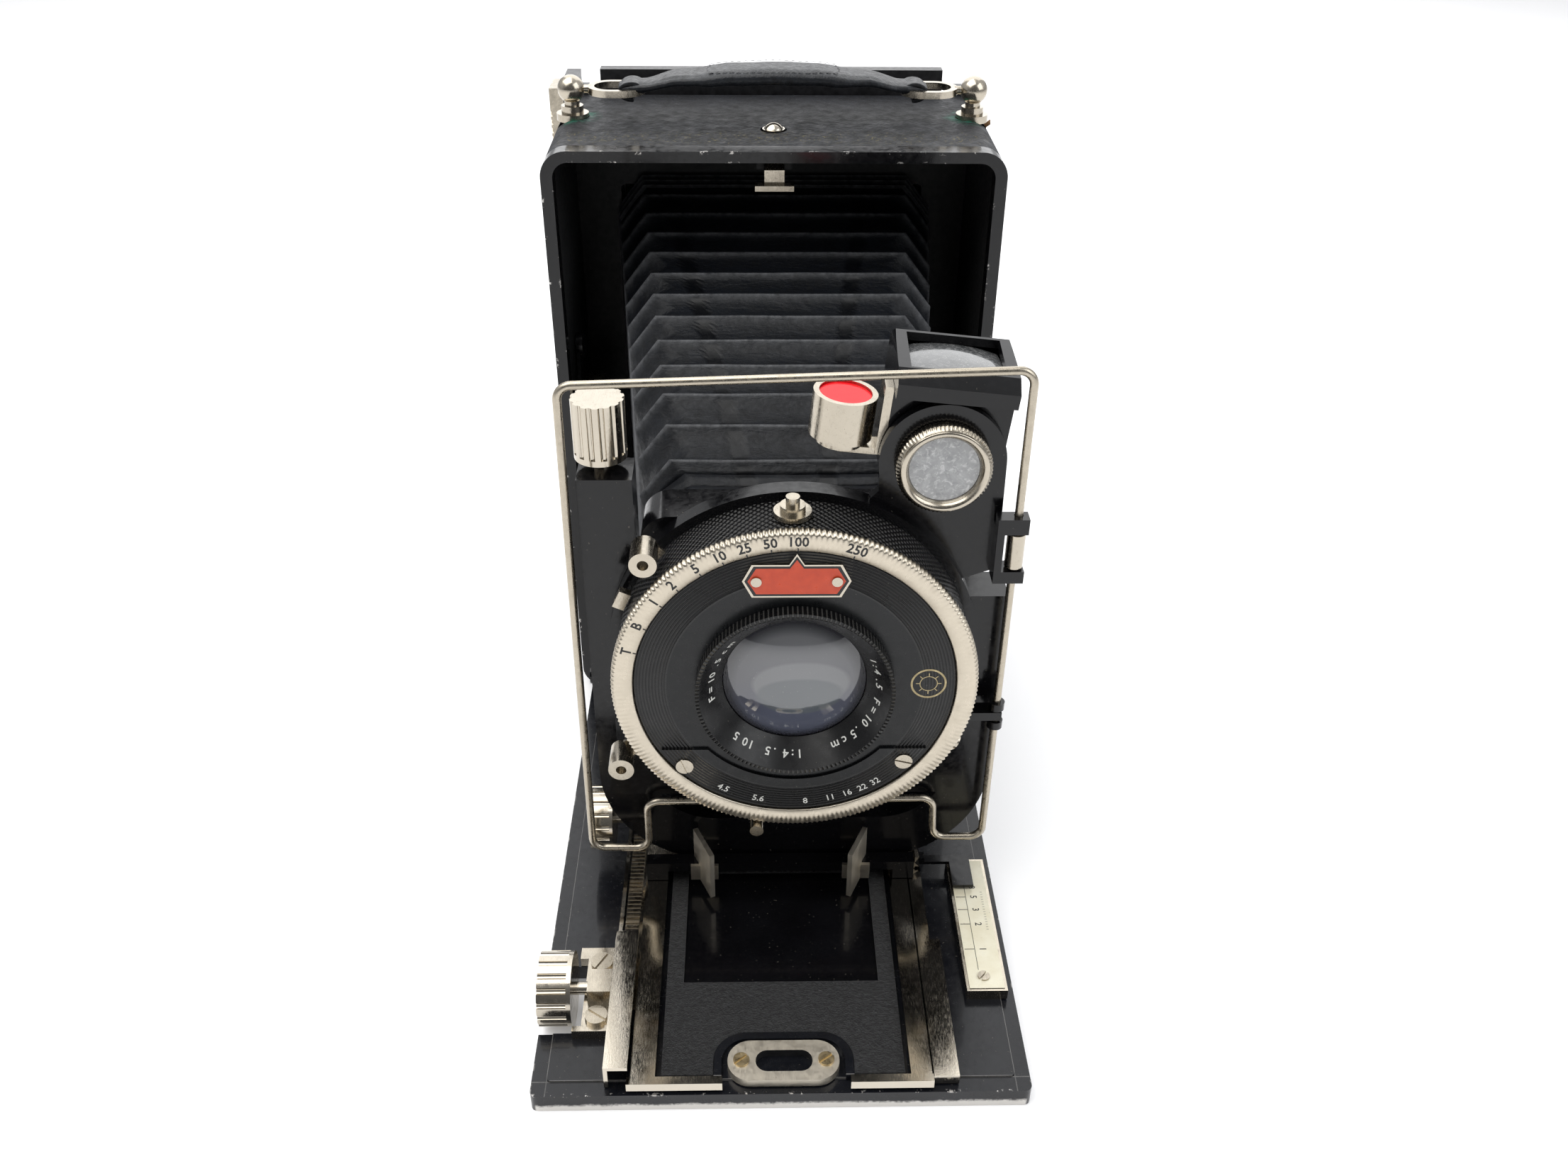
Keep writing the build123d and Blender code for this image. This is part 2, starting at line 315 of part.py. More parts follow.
put('housing_studs', tstud, Pos(LX+math.sin(a)*31.2, -73.6, LZ+math.cos(a)*31.2) * Rot(0, 120, 0) * (Cylinder(1.7, 3.0) - Pos(0, 0, 1)*Cylinder(1.0, 3)) - cy(29.65, LX, -70, -80, LZ))
# finder, level: built upright, then turned on the finder pivot
def tilt(s):
    return Pos(FX, 0, FZ) * Rot(0, FTILT, 0) * Pos(-FX, 0, -FZ) * s
fbod = bx(16.3, 35.3, -66.0, -52.0, 86.6, 106.2) + yz([(-68.6, 106.0), (-68.6, 108.4), (-66.0, 110.2), (-54.6, 111.6), (-52.0, 109.8), (-52.0, 106.0)], 16.3, 35.3)
fbod = fbod & rr(16.3, 35.3, 86.6, 114.0, 4.0, -80, -50)
fbod = fbod - yz([(-56.0, 80), (-50, 80), (-50, 94.5)], 10, 40)
fin = yz([(-65.0, 87.8), (-65.0, 106.8), (-64.6, 109.0), (-54.8, 110.2), (-53.2, 109.0), (-53.2, 96.4), (-57.8, 87.8)], 17.5, 34.1)
fbod = fbod - (bx(10, 40, -80, -50, 80, FZ) - cy(10.2, FX, -81, -49, FZ))
fin = fin & (bx(10, 40, -80, -50, FZ, 120) + cy(9.0, FX, -81, -49, FZ))
fbod = fbod - fin - cy(6.28, FX, -64, -72, FZ) - bx(18.3, 33.3, -65.6, -55.2, 107, 114)
put('finder_body', tilt(fbod))
put('finder_ring', ring(7.6, 5.6, FX, -68.1, -71.2, FZ) + ring(6.2, 5.6, FX, -65.0, -68.15, FZ))
put('finder_lens', cy(5.55, FX, -67.6, -70.0, FZ))
put('finder_mirror', tilt(Pos(FX, -59.6, 97.6) * Rot(-45, 0, 0) * Box(15.5, 11.0, 0.7)))
put('finder_top_glass', tilt(bx(18.35, 33.25, -65.55, -55.25, 107.9, 109.0) + (Pos(FX, -60.4, 79.2) * Sphere(31.4) & bx(18.35, 33.25, -65.55, -55.25, 108.9, 112))))
put('level_cup', tilt(bx(14.9, 16.25, -65.9, -60.2, 94.9, 106.6) + bx(9.0, 15.0, -65.4, -61.4, 94.6, 95.7) + cz(5.1, 9.2, -63.4, 96.9, 104.1) + cz(3.8, 9.2, -63.4, 95.6, 97.0) - cz(4.2, 9.2, -63.4, 99.5, 106)))
put('level_vial', tilt(cz(4.15, 9.2, -63.4, 99.5, 103.7)))
# wire frame
path = [(38.0, 17.7), (38.0, 112.3), (-33.7, 109.8), (-34.4, 15.6), (-23.9, 15.6), (-23.9, 27.0), (28.3, 27.4), (28.8, 17.7)]
pts3 = [(a, WIRE_Y, b) for a, b in path]
wl = FilletPolyline(*pts3, radius=2.6, close=True)
WP = pts3
def wire_solid():
    n = len(WP); segs = []
    P = [Vector(*p) for p in WP]
    R = 2.4
    tp = []
    for i in range(n):
        p0, p1, p2 = P[i-1], P[i], P[(i+1) % n]
        u = (p0-p1).normalized(); v = (p2-p1).normalized()
        ang = math.acos(max(-1, min(1, u.dot(v))))
        d = R/math.tan(ang/2)
        tp.append((p1+u*d, p1, p1+v*d, ang, u, v))
    body = None
    for i in range(n):
        a = tp[i][2]; b = tp[(i+1) % n][0]
        c = tp[(i+1) % n]
        ln = Line(a, b)
        mid = c[1] + (c[4]+c[5]).normalized() * (R/math.sin(c[3]/2) - R)
        arc = ThreePointArc(c[0], mid, c[2])
        segs.append(ln); segs.append(arc)
    w = Wire(segs)
    pl = Plane(origin=segs[0] @ 0, z_dir=segs[0] % 0)
    return sweep(pl * Circle(WIRE_R), path=w)
put('wire_frame', wire_solid())
put('wire_fittings', cz(1.5, 38.0, WIRE_Y, 77.8, 84.0) - cz(WIRE_R, 38.0, WIRE_Y, 70, 90), *[cz(1.35, 38.0, WIRE_Y, z, z+1.5) - cz(WIRE_R, 38.0, WIRE_Y, 30, 60) for z in (48.2, 44.2)])
hbk = bx(34.6, 39.6, -71.6, -68.9, 84.4, 87.2) + bx(34.6, 39.6, -71.6, -68.0, 75.2, 77.4) + bx(34.6, 35.8, -71.6, -68.9, 75.2, 87.2) + bx(34.6, 35.8, -71.6, -68.0, 75.2, 84.8)
hbk = hbk - cz(0.76, 38.0, WIRE_Y, 70, 92)
wc = bx(31.6, 38.9, -71.0, -68.0, 46.1, 47.8) - cz(0.78, 38.0, WIRE_Y, 40, 50)
put('wire_bracket', hbk, wc)
# bellows
def frus(x0, x1, z0, z1, y0, X0, X1, Z0, Z1, y1):
    f1 = make_face(Polyline((x0, y0, z0), (x1, y0, z0), (x1, y0, z1), (x0, y0, z1), close=True))
    f2 = make_face(Polyline((X0, y1, Z0), (X1, y1, Z0), (X1, y1, Z1), (X0, y1, Z1), close=True))
    return loft([f1, f2])
be = frus(-36.5, 36.5, 14, 110, 38.5, -22.0, 29.0, 31.0, 84.2, -57.3) - frus(-33.2, 33.2, 17.0, 107.0, 39.0, -19.4, 26.4, 34, 81.2, -57.8)
put('bellows', be)

# fit the parts to one another and write them
tot = 0
for n, sol in OUT.items():
    if not sol:
        print('EMPTY', n); continue
    c = Compound(children=[s for s in sol]) if len(sol) > 1 else sol[0]
    export_step(c, f"parts/{n}.step")
print(len(OUT), 'nodes')
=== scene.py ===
import bpy, bmesh, math
from mathutils import Vector, Matrix, noise
import random


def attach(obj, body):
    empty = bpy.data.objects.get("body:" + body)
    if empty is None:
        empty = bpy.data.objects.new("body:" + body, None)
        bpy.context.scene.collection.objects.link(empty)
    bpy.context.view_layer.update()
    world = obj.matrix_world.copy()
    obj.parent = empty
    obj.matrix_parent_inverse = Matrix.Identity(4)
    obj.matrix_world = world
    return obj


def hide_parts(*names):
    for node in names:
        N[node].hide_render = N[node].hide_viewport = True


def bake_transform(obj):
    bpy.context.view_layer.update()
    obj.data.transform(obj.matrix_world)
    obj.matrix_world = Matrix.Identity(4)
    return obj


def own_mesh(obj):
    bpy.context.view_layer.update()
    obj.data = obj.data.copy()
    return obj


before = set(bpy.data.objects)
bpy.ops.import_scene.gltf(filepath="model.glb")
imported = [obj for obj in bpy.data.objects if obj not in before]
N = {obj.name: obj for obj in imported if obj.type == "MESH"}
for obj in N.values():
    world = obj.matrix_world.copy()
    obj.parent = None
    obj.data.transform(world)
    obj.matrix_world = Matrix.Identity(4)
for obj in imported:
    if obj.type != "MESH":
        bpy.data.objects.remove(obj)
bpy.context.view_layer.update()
MM = 0.001
LX, LZ = 2.4, 60.2
FX, FZ, FT = 25.5, 95.5, 6.0

# ------------------------------------------------------------------ camera
cam_d = bpy.data.cameras.new("Camera")
cam = bpy.data.objects.new("Camera", cam_d)
bpy.context.scene.collection.objects.link(cam)
cam_d.sensor_width = 36.0
cam_d.lens = 1951.0 / 2212.0 * 36.0
yaw, pit, rol = math.radians(1.52), math.radians(33.5), math.radians(0.59)
R = Vector((math.cos(yaw), -math.sin(yaw), 0))
F = Vector((math.sin(yaw)*math.cos(pit), math.cos(yaw)*math.cos(pit), -math.sin(pit)))
U = R.cross(F)
R2 = R*math.cos(rol) + U*math.sin(rol)
U2 = -R*math.sin(rol) + U*math.cos(rol)
cam.matrix_world = Matrix(((R2.x, U2.x, -F.x, -4.33*MM), (R2.y, U2.y, -F.y, -259.21*MM), (R2.z, U2.z, -F.z, 198.77*MM), (0, 0, 0, 1)))
cam_d.clip_start = 0.005
cam_d.clip_end = 20
bpy.context.scene.camera = cam

# ------------------------------------------------------------------ node helpers
class NT:
    def __init__(s, name):
        s.m = bpy.data.materials.new(name)
        s.m.use_nodes = True
        s.t = s.m.node_tree
        s.b = s.t.nodes["Principled BSDF"]
        s.tc = s.t.nodes.new("ShaderNodeTexCoord")
        s.P = s.tc.outputs["Object"]
        s.geo = None
    def n(s, kind, **k):
        q = s.t.nodes.new(kind)
        for a, b in k.items():
            setattr(q, a, b)
        return q
    def put(s, sock, v):
        if v is None:
            return
        if isinstance(v, bpy.types.NodeSocket):
            s.t.links.new(v, sock)
        else:
            sock.default_value = v
    def math(s, op, a, b=None, c=None, clamp=False):
        q = s.n("ShaderNodeMath", operation=op, use_clamp=clamp)
        s.put(q.inputs[0], a); s.put(q.inputs[1], b)
        if c is not None: s.put(q.inputs[2], c)
        return q.outputs[0]
    def noise(s, scale, detail=4.0, rough=0.55, vec=None, dist=0.0):
        q = s.n("ShaderNodeTexNoise")
        s.put(q.inputs["Vector"], vec or s.P)
        q.inputs["Scale"].default_value = scale
        q.inputs["Detail"].default_value = detail
        q.inputs["Roughness"].default_value = rough
        q.inputs["Distortion"].default_value = dist
        return q.outputs[0]
    def voro(s, scale, feature="F1", vec=None, rnd=1.0):
        q = s.n("ShaderNodeTexVoronoi", feature=feature)
        s.put(q.inputs["Vector"], vec or s.P)
        q.inputs["Scale"].default_value = scale
        q.inputs["Randomness"].default_value = rnd
        return q.outputs[0]
    def ramp(s, v, lo, hi, a=0.0, b=1.0):
        q = s.n("ShaderNodeMapRange", clamp=True)
        s.put(q.inputs["Value"], v)
        s.put(q.inputs["From Min"], lo); s.put(q.inputs["From Max"], hi)
        s.put(q.inputs["To Min"], a); s.put(q.inputs["To Max"], b)
        return q.outputs["Result"]
    def mix(s, f, a, b):
        q = s.n("ShaderNodeMix", data_type="RGBA")
        s.put(q.inputs["Factor"], f)
        s.put(q.inputs["A"], a if isinstance(a, bpy.types.NodeSocket) else (*a, 1.0)[:4])
        s.put(q.inputs["B"], b if isinstance(b, bpy.types.NodeSocket) else (*b, 1.0)[:4])
        return [o for o in q.outputs if o.type == "RGBA"][0]
    def mixf(s, f, a, b):
        return s.math("ADD", a, s.math("MULTIPLY", f, s.math("SUBTRACT", b, a)))
    def sep(s, vec=None):
        q = s.n("ShaderNodeSeparateXYZ")
        s.put(q.inputs[0], vec or s.P)
        return q.outputs
    def bump(s, h, strength=0.3, dist=0.0001, prev=None):
        q = s.n("ShaderNodeBump")
        q.inputs["Strength"].default_value = strength
        q.inputs["Distance"].default_value = dist
        s.put(q.inputs["Height"], h)
        if prev is not None: s.put(q.inputs["Normal"], prev)
        s.t.links.new(q.outputs["Normal"], s.b.inputs["Normal"])
        return q.outputs["Normal"]
    def scale(s, v, vec=None):
        q = s.n("ShaderNodeVectorMath", operation="MULTIPLY")
        s.put(q.inputs[0], vec or s.P); q.inputs[1].default_value = v
        return q.outputs[0]
    def col(s, v): s.put(s.b.inputs["Base Color"], v if isinstance(v, bpy.types.NodeSocket) else (*v, 1.0)[:4])
    def rough(s, v): s.put(s.b.inputs["Roughness"], v)
    def metal(s, v): s.put(s.b.inputs["Metallic"], v)
    def coat(s, v, r=0.05): s.b.inputs["Coat Weight"].default_value = v; s.b.inputs["Coat Roughness"].default_value = r

def band(t, sock, lo, hi, soft):
    """1 between lo and hi (metres), soft edges"""
    a = t.ramp(sock, lo-soft, lo+soft)
    b = t.ramp(sock, hi-soft, hi+soft)
    return t.math("SUBTRACT", a, b, clamp=True)

def m_nickel(name="nickel", tint=(0.70, 0.655, 0.575), r0=0.13, r1=0.34, dirt=0.5, brushed=None):
    t = NT(name)
    big = t.noise(160, 5, 0.6); fine = t.noise(2600, 4, 0.6); mid = t.noise(700, 6, 0.65, dist=0.4)
    sc = t.noise(1.0, 2, 0.5, vec=t.scale((9000, 700, 2500)))
    tar = t.ramp(mid, 0.60, 0.80)
    pit = t.ramp(t.noise(3100, 2, 0.5), 0.70, 0.76)
    c = t.mix(t.math("MULTIPLY", tar, dirt * 0.55), tint, (0.24, 0.19, 0.125))
    c = t.mix(t.math("MULTIPLY", pit, dirt * 0.8), c, (0.10, 0.08, 0.05))
    c = t.mix(t.ramp(big, 0.35, 0.75, 0, 0.30), c, tuple(min(1.0, x * 1.12) for x in tint))
    t.col(c); t.metal(1.0)
    r = t.math("ADD", t.ramp(mid, 0.35, 0.75, r0, r1), t.ramp(sc, 0.45, 0.7, 0.0, 0.10))
    t.rough(r)
    h = t.math("ADD", t.math("MULTIPLY", fine, 0.5), t.math("MULTIPLY", sc, 0.3))
    t.bump(h, 0.16, 0.00006)
    return t.m

def m_enamel(name="black_enamel", rough=(0.10, 0.26), wear=None, bump=0.10, base=(0.0028, 0.0028, 0.0034), coat=0.35):
    t = NT(name)
    big = t.noise(90, 5, 0.6); fine = t.noise(900, 5, 0.6); spk = t.noise(2100, 2, 0.4)
    c = t.mix(t.ramp(big, 0.4, 0.8), base, tuple(x*1.9 for x in base))
    dust = t.ramp(spk, 0.735, 0.77)
    c = t.mix(t.math("MULTIPLY", dust, 0.20), c, (0.30, 0.27, 0.22))
    met = None
    if wear is not None:
        w = wear(t)
        c = t.mix(w, c, (0.62, 0.60, 0.57))
        t.metal(t.math("MULTIPLY", w, 0.9))
        t.rough(t.mixf(w, t.ramp(fine, 0.3, 0.7, rough[0], rough[1]), 0.32))
    else:
        t.rough(t.ramp(fine, 0.3, 0.7, rough[0], rough[1]))
    t.col(c)
    t.coat(coat * 0.45, 0.05)
    t.b.inputs["Specular IOR Level"].default_value = 0.30
    h = t.math("ADD", t.math("MULTIPLY", big, 1.0), t.math("MULTIPLY", fine, 0.12))
    t.bump(h, bump, 0.0004)
    return t.m

def m_leather(name="leather", scale=1500, base=(0.010, 0.010, 0.0115), rough=(0.42, 0.7), strength=0.55, extra=None, wearc=(0.035, 0.036, 0.04)):
    t = NT(name)
    v = t.voro(scale, "SMOOTH_F1"); v2 = t.voro(scale*2.3, "F1"); nz = t.noise(scale*0.35, 5, 0.6); big = t.noise(70, 4, 0.6)
    h = t.math("ADD", t.math("MULTIPLY", v, 0.8), t.math("ADD", t.math("MULTIPLY", nz, 0.7), t.math("MULTIPLY", v2, 0.18)))
    c = t.mix(t.ramp(nz, 0.35, 0.75), base, wearc)
    c = t.mix(t.ramp(big, 0.5, 0.8, 0, 0.5), c, tuple(x*1.6 for x in wearc))
    if extra is not None:
        c = extra(t, c)
    t.col(c)
    t.rough(t.ramp(nz, 0.3, 0.75, rough[1], rough[0]))
    t.bump(h, strength, 0.00022)
    t.b.inputs["Specular IOR Level"].default_value = 0.30
    return t.m

def m_plain(name, c0, c1, rough=(0.4, 0.6), metal=0.0, scale=600, bump=0.1, coat=0.0):
    t = NT(name)
    nz = t.noise(scale, 5, 0.6)
    t.col(t.mix(t.ramp(nz, 0.3, 0.75), c0, c1)); t.metal(metal)
    t.rough(t.ramp(nz, 0.3, 0.7, rough[0], rough[1]))
    t.bump(t.noise(scale*3, 4, 0.6), bump, 0.0001)
    if coat: t.coat(coat)
    return t.m

# ------------------------------------------------------------------ materials
def w_rim(t):
    x, y, z = t.sep()
    ax = t.math("ABSOLUTE", x)
    e = t.math("MAXIMUM", t.ramp(ax, 0.04345, 0.0438), t.ramp(z, 0.12375, 0.1242))
    f = t.ramp(y, 0.0004, 0.0000)
    inner = t.math("MAXIMUM", t.math("MULTIPLY", t.ramp(ax, 0.04215, 0.04185), t.ramp(ax, 0.0414, 0.0417)), t.math("MULTIPLY", t.ramp(z, 0.1227, 0.12245), t.ramp(z, 0.1220, 0.1223)))
    outer_edge = t.math("MULTIPLY", e, t.ramp(y, 0.0009, 0.0001))
    n1 = t.noise(330, 5, 0.7); n2 = t.noise(1500, 3, 0.6)
    ch = t.ramp(t.math("ADD", t.math("MULTIPLY", n1, 0.7), t.math("MULTIPLY", n2, 0.3)), 0.575, 0.61)
    a = t.math("MULTIPLY", outer_edge, ch)
    b = t.math("MULTIPLY", t.math("MULTIPLY", inner, f), t.ramp(n1, 0.58, 0.63))
    return t.math("MAXIMUM", a, t.math("MULTIPLY", b, 0.6))
def w_bed(t):
    x, y, z = t.sep()
    n1 = t.noise(260, 5, 0.7); n2 = t.noise(1700, 3, 0.6)
    mixn = t.math("ADD", t.math("MULTIPLY", n1, 0.65), t.math("MULTIPLY", n2, 0.35))
    front = t.ramp(y, -0.11525, -0.11538)
    low = t.math("MULTIPLY", front, t.ramp(t.math("ADD", z, t.math("MULTIPLY", mixn, 0.0022)), 0.00275, 0.0021))
    top = t.math("MULTIPLY", t.math("MULTIPLY", t.ramp(y, -0.1148, -0.1153), t.ramp(z, 0.0033, 0.0037)), t.ramp(mixn, 0.56, 0.60))
    ax = t.math("ABSOLUTE", x)
    side = t.math("MULTIPLY", t.math("MULTIPLY", t.ramp(ax, 0.04125, 0.04148), t.ramp(z, 0.0034, 0.00368)), t.ramp(n1, 0.56, 0.62))
    stp = t.math("MULTIPLY", t.math("MAXIMUM", band(t, ax, 0.03893, 0.03905, 0.00006), band(t, y, -0.11268, -0.11252, 0.00006)), t.ramp(n1, 0.3, 0.5, 0.10, 0.28))
    stp = t.math("MULTIPLY", stp, t.ramp(z, 0.0035, 0.0038))
    return t.math("MAXIMUM", t.math("MAXIMUM", low, top), t.math("MAXIMUM", t.math("MULTIPLY", side, 0.5), stp))
NICK = m_nickel("nickel", (0.47, 0.425, 0.350), 0.13, 0.28, 0.55)
NICKB = m_nickel("nickel_bright", (0.50, 0.455, 0.38), 0.09, 0.22, 0.35)
NICKD = m_nickel("nickel_dull", (0.44, 0.395, 0.32), 0.2, 0.42, 0.8)
NICKW = m_nickel("nickel_worn", (0.62, 0.57, 0.48), 0.34, 0.52, 0.4)
RAIL = m_nickel("nickel_rail", (0.60, 0.55, 0.465), 0.06, 0.15, 0.12)
BRASS = m_nickel("brass_screw", (0.48, 0.38, 0.22), 0.22, 0.45, 0.7)
ENAM = m_enamel()
ENAMW = m_enamel("enamel_rim", wear=w_rim)
ENAMB = m_enamel("enamel_bed", rough=(0.16, 0.3), wear=w_bed, bump=0.06, base=(0.0045, 0.005, 0.0068))
MATB = m_plain("matt_black", (0.004, 0.004, 0.0045), (0.012, 0.012, 0.013), (0.55, 0.8), scale=900, bump=0.25)
SATB = m_plain("satin_black", (0.008, 0.008, 0.009), (0.02, 0.02, 0.022), (0.28, 0.42), scale=900, bump=0.08)
def top_wear(t, c):
    x, y, z = t.sep()
    up = t.ramp(z, 0.1236, 0.1241)
    n1 = t.noise(420, 5, 0.7); n2 = t.noise(1900, 3, 0.6)
    yel = t.math("MULTIPLY", t.math("MULTIPLY", band(t, y, 0.0055, 0.013, 0.002), up), t.ramp(n2, 0.60, 0.66))
    c = t.mix(t.math("MULTIPLY", yel, 0.75), c, (0.16, 0.135, 0.05))
    scuff = t.math("MULTIPLY", up, t.ramp(n1, 0.55, 0.75))
    c = t.mix(t.math("MULTIPLY", scuff, 0.35), c, (0.045, 0.047, 0.052))
    ax = t.math("ABSOLUTE", x)
    dx = t.math("SUBTRACT", ax, 0.0400); dy = t.math("SUBTRACT", y, 0.0245)
    d = t.math("SQRT", t.math("ADD", t.math("MULTIPLY", dx, dx), t.math("MULTIPLY", dy, dy)))
    grn = t.math("MULTIPLY", t.math("MULTIPLY", t.ramp(d, 0.0062, 0.0038), up), t.ramp(n1, 0.42, 0.6))
    return t.mix(t.math("MULTIPLY", grn, 0.9), c, (0.012, 0.13, 0.085))
LEAB = m_leather("body_leather_mat", 1350, (0.0050, 0.0053, 0.0066), strength=0.95, extra=top_wear, wearc=(0.018, 0.0195, 0.024))
LEAT = m_leather("leather_smooth", 2600, (0.006, 0.0068, 0.0085), (0.26, 0.46), 0.3, wearc=(0.02, 0.0225, 0.027))
LEAR = m_leather("leather_torn", 1800, (0.12, 0.055, 0.022), (0.6, 0.85), 0.7, wearc=(0.28, 0.16, 0.075))
BELM = m_leather("bellows_mat", 2100, (0.0085, 0.009, 0.0115), (0.3, 0.5), 0.42, wearc=(0.022, 0.024, 0.03))
def m_turned(name, kind, base=(0.0035, 0.0035, 0.004)):
    t = NT(name)
    x, y, z = t.sep()
    dx = t.math("SUBTRACT", x, LX * MM); dz = t.math("SUBTRACT", z, LZ * MM)
    r = t.math("SQRT", t.math("ADD", t.math("MULTIPLY", dx, dx), t.math("MULTIPLY", dz, dz)))
    ang = t.math("ARCTAN2", dx, dz)
    spk = t.noise(2600, 2, 0.5)
    if kind == "diamond":
        u = t.math("MULTIPLY", ang, 0.0296)
        k = 2 * math.pi / 0.00125
        a = t.math("SINE", t.math("MULTIPLY", t.math("ADD", u, y), k)); b = t.math("SINE", t.math("MULTIPLY", t.math("SUBTRACT", u, y), k))
        h = t.math("MULTIPLY", t.math("ADD", t.math("ADD", a, b), 2.0), 0.25)
        mask = t.ramp(r, 0.0290, 0.0293)
        st, di = 1.0, 0.00035
    elif kind == "straight":
        h = t.math("ADD", t.math("MULTIPLY", t.math("SINE", t.math("MULTIPLY", ang, 132.0)), 0.5), 0.5)
        mask = t.ramp(r, 0.01560, 0.01575)
        st, di = 1.0, 0.0003
    else:
        h = t.math("ADD", t.math("MULTIPLY", t.math("SINE", t.math("MULTIPLY", r, 2 * math.pi / 0.00052)), 0.5), 0.5)
        mask = t.math("MULTIPLY", t.ramp(r, 0.0213, 0.0215), t.ramp(y, -0.07955, -0.07959))
        st, di = 0.75, 0.00012
    hm = t.math("MULTIPLY", h, mask)
    c = t.mix(t.math("MULTIPLY", t.ramp(hm, 0.55, 1.0), 0.55 if kind != "groove" else 0.22), base, (0.085, 0.083, 0.078))
    if kind == "groove":
        c = t.mix(t.ramp(r, 0.0214, 0.0210, 0, 0.7), c, (0.0075, 0.0085, 0.0095))
        edge = band(t, r, 0.02105, 0.02125, 0.00008)
        c = t.mix(t.math("MULTIPLY", edge, 0.35), c, (0.06, 0.06, 0.058))
    c = t.mix(t.ramp(spk, 0.72, 0.76, 0, 0.45), c, (0.20, 0.19, 0.16))
    t.col(c); t.rough(t.ramp(t.noise(500, 4, 0.6), 0.3, 0.7, 0.22, 0.36))
    t.b.inputs["Specular IOR Level"].default_value = 0.34
    t.bump(hm, st, di)
    return t.m
HOUSM = m_turned("housing_knurled", "diamond"); BARRM = m_turned("barrel_milled", "straight"); DIALM = m_turned("dial_grooved", "groove")
def m_suede():
    t = NT("suede")
    a = t.noise(1500, 6, 0.75); b = t.noise(5200, 3, 0.6)
    t.col(t.mix(t.ramp(a, 0.42, 0.68), (0.002, 0.002, 0.0024), (0.020, 0.020, 0.0215)))
    t.rough(0.92); t.bump(t.math("ADD", a, t.math("MULTIPLY", b, 0.6)), 0.9, 0.0003)
    t.b.inputs["Sheen Weight"].default_value = 0.25
    t.b.inputs["Specular IOR Level"].default_value = 0.2
    return t.m
SUEDE = m_suede()
def m_ivory():
    t = NT("ivory")
    a = t.noise(240, 5, 0.6); b = t.noise(2200, 3, 0.6)
    c = t.mix(t.ramp(a, 0.35, 0.75), (0.80, 0.76, 0.60), (0.70, 0.64, 0.46))
    t.col(t.mix(t.ramp(b, 0.68, 0.74, 0, 0.5), c, (0.30, 0.24, 0.14)))
    t.rough(t.ramp(a, 0.3, 0.7, 0.25, 0.4)); t.bump(b, 0.05, 0.0001)
    return t.m
IVORY = m_ivory()
INK = m_plain("ink_black", (0.008, 0.008, 0.008), (0.02, 0.02, 0.02), (0.4, 0.6), scale=1500)
INKW = m_plain("ink_white", (0.78, 0.78, 0.74), (0.6, 0.6, 0.56), (0.4, 0.6), scale=1500)
INKG = m_plain("ink_gold", (0.46, 0.38, 0.22), (0.3, 0.24, 0.13), (0.35, 0.5), metal=0.6, scale=1500)
INKF = m_plain("ink_faint", (0.24, 0.235, 0.215), (0.12, 0.12, 0.11), (0.4, 0.6), scale=1800)
RED = m_plain("orange_red", (0.62, 0.058, 0.008), (0.50, 0.038, 0.006), (0.25, 0.4), scale=500, bump=0.06, coat=0.1)
def m_glass(name, tint, rough=0.03, haze=0.0, alpha=1.0, trans=1.0):
    t = NT(name)
    a = t.noise(500, 5, 0.65)
    t.col(t.mix(t.ramp(a, 0.3, 0.8), tint, tuple(min(1, x*1.08) for x in tint)))
    t.b.inputs["Transmission Weight"].default_value = trans
    t.b.inputs["IOR"].default_value = 1.5
    t.rough(t.ramp(a, 0.35, 0.75, rough, rough+haze))
    return t.m
def m_lens():
    # the lens glass is opaque: its reflections are painted into its colour
    t = NT("lens_glass")
    x, y, z = t.sep()
    dx = t.math("MULTIPLY", t.math("SUBTRACT", x, LX * MM), 1000.0); dz = t.math("MULTIPLY", t.math("SUBTRACT", z, LZ * MM), 1000.0)
    def dist(cx_, cz_, ax=1.0, az=1.0):
        a = t.math("MULTIPLY", t.math("SUBTRACT", dx, cx_), 1.0 / ax); b = t.math("MULTIPLY", t.math("SUBTRACT", dz, cz_), 1.0 / az)
        return t.math("SQRT", t.math("ADD", t.math("MULTIPLY", a, a), t.math("MULTIPLY", b, b)))
    nz = t.noise(220, 4, 0.55); sp = t.noise(3400, 2, 0.5)
    # painted reflection: dark blue at the bottom of the glass, pale grey at the top
    base = t.mix(t.ramp(dz, -9.0, 9.0), (0.030, 0.030, 0.055), (0.155, 0.158, 0.165))
    base = t.mix(t.ramp(dist(0.5, -13.0, 1.25, 1.0), 15.5, 8.0), base, (0.090, 0.098, 0.135))      # painted reflection: a blue-violet pool low in the glass
    base = t.mix(t.ramp(dist(1.0, 0.5, 1.35, 0.78), 6.2, 5.6, 0, 0.75), base, (0.20, 0.205, 0.212))    # painted reflection: a pale oval near the middle of the glass
    # painted reflection: a grey-blue oval just below the pale one
    base = t.mix(t.ramp(dist(0.8, -1.6, 1.35, 0.70), 5.6, 5.0, 0, 0.8), base, (0.105, 0.118, 0.128))
    # painted reflection: a dark ring round the edge of the glass
    base = t.mix(t.ramp(dist(0.0, 0.0), 9.6, 11.6), base, (0.020, 0.020, 0.026))
    base = t.mix(t.ramp(sp, 0.72, 0.76, 0, 0.35), base, (0.45, 0.45, 0.44))
    t.col(base); t.rough(t.ramp(nz, 0.3, 0.8, 0.03, 0.12)); t.coat(1.0, 0.02)
    t.b.inputs["IOR"].default_value = 1.55
    return t.m
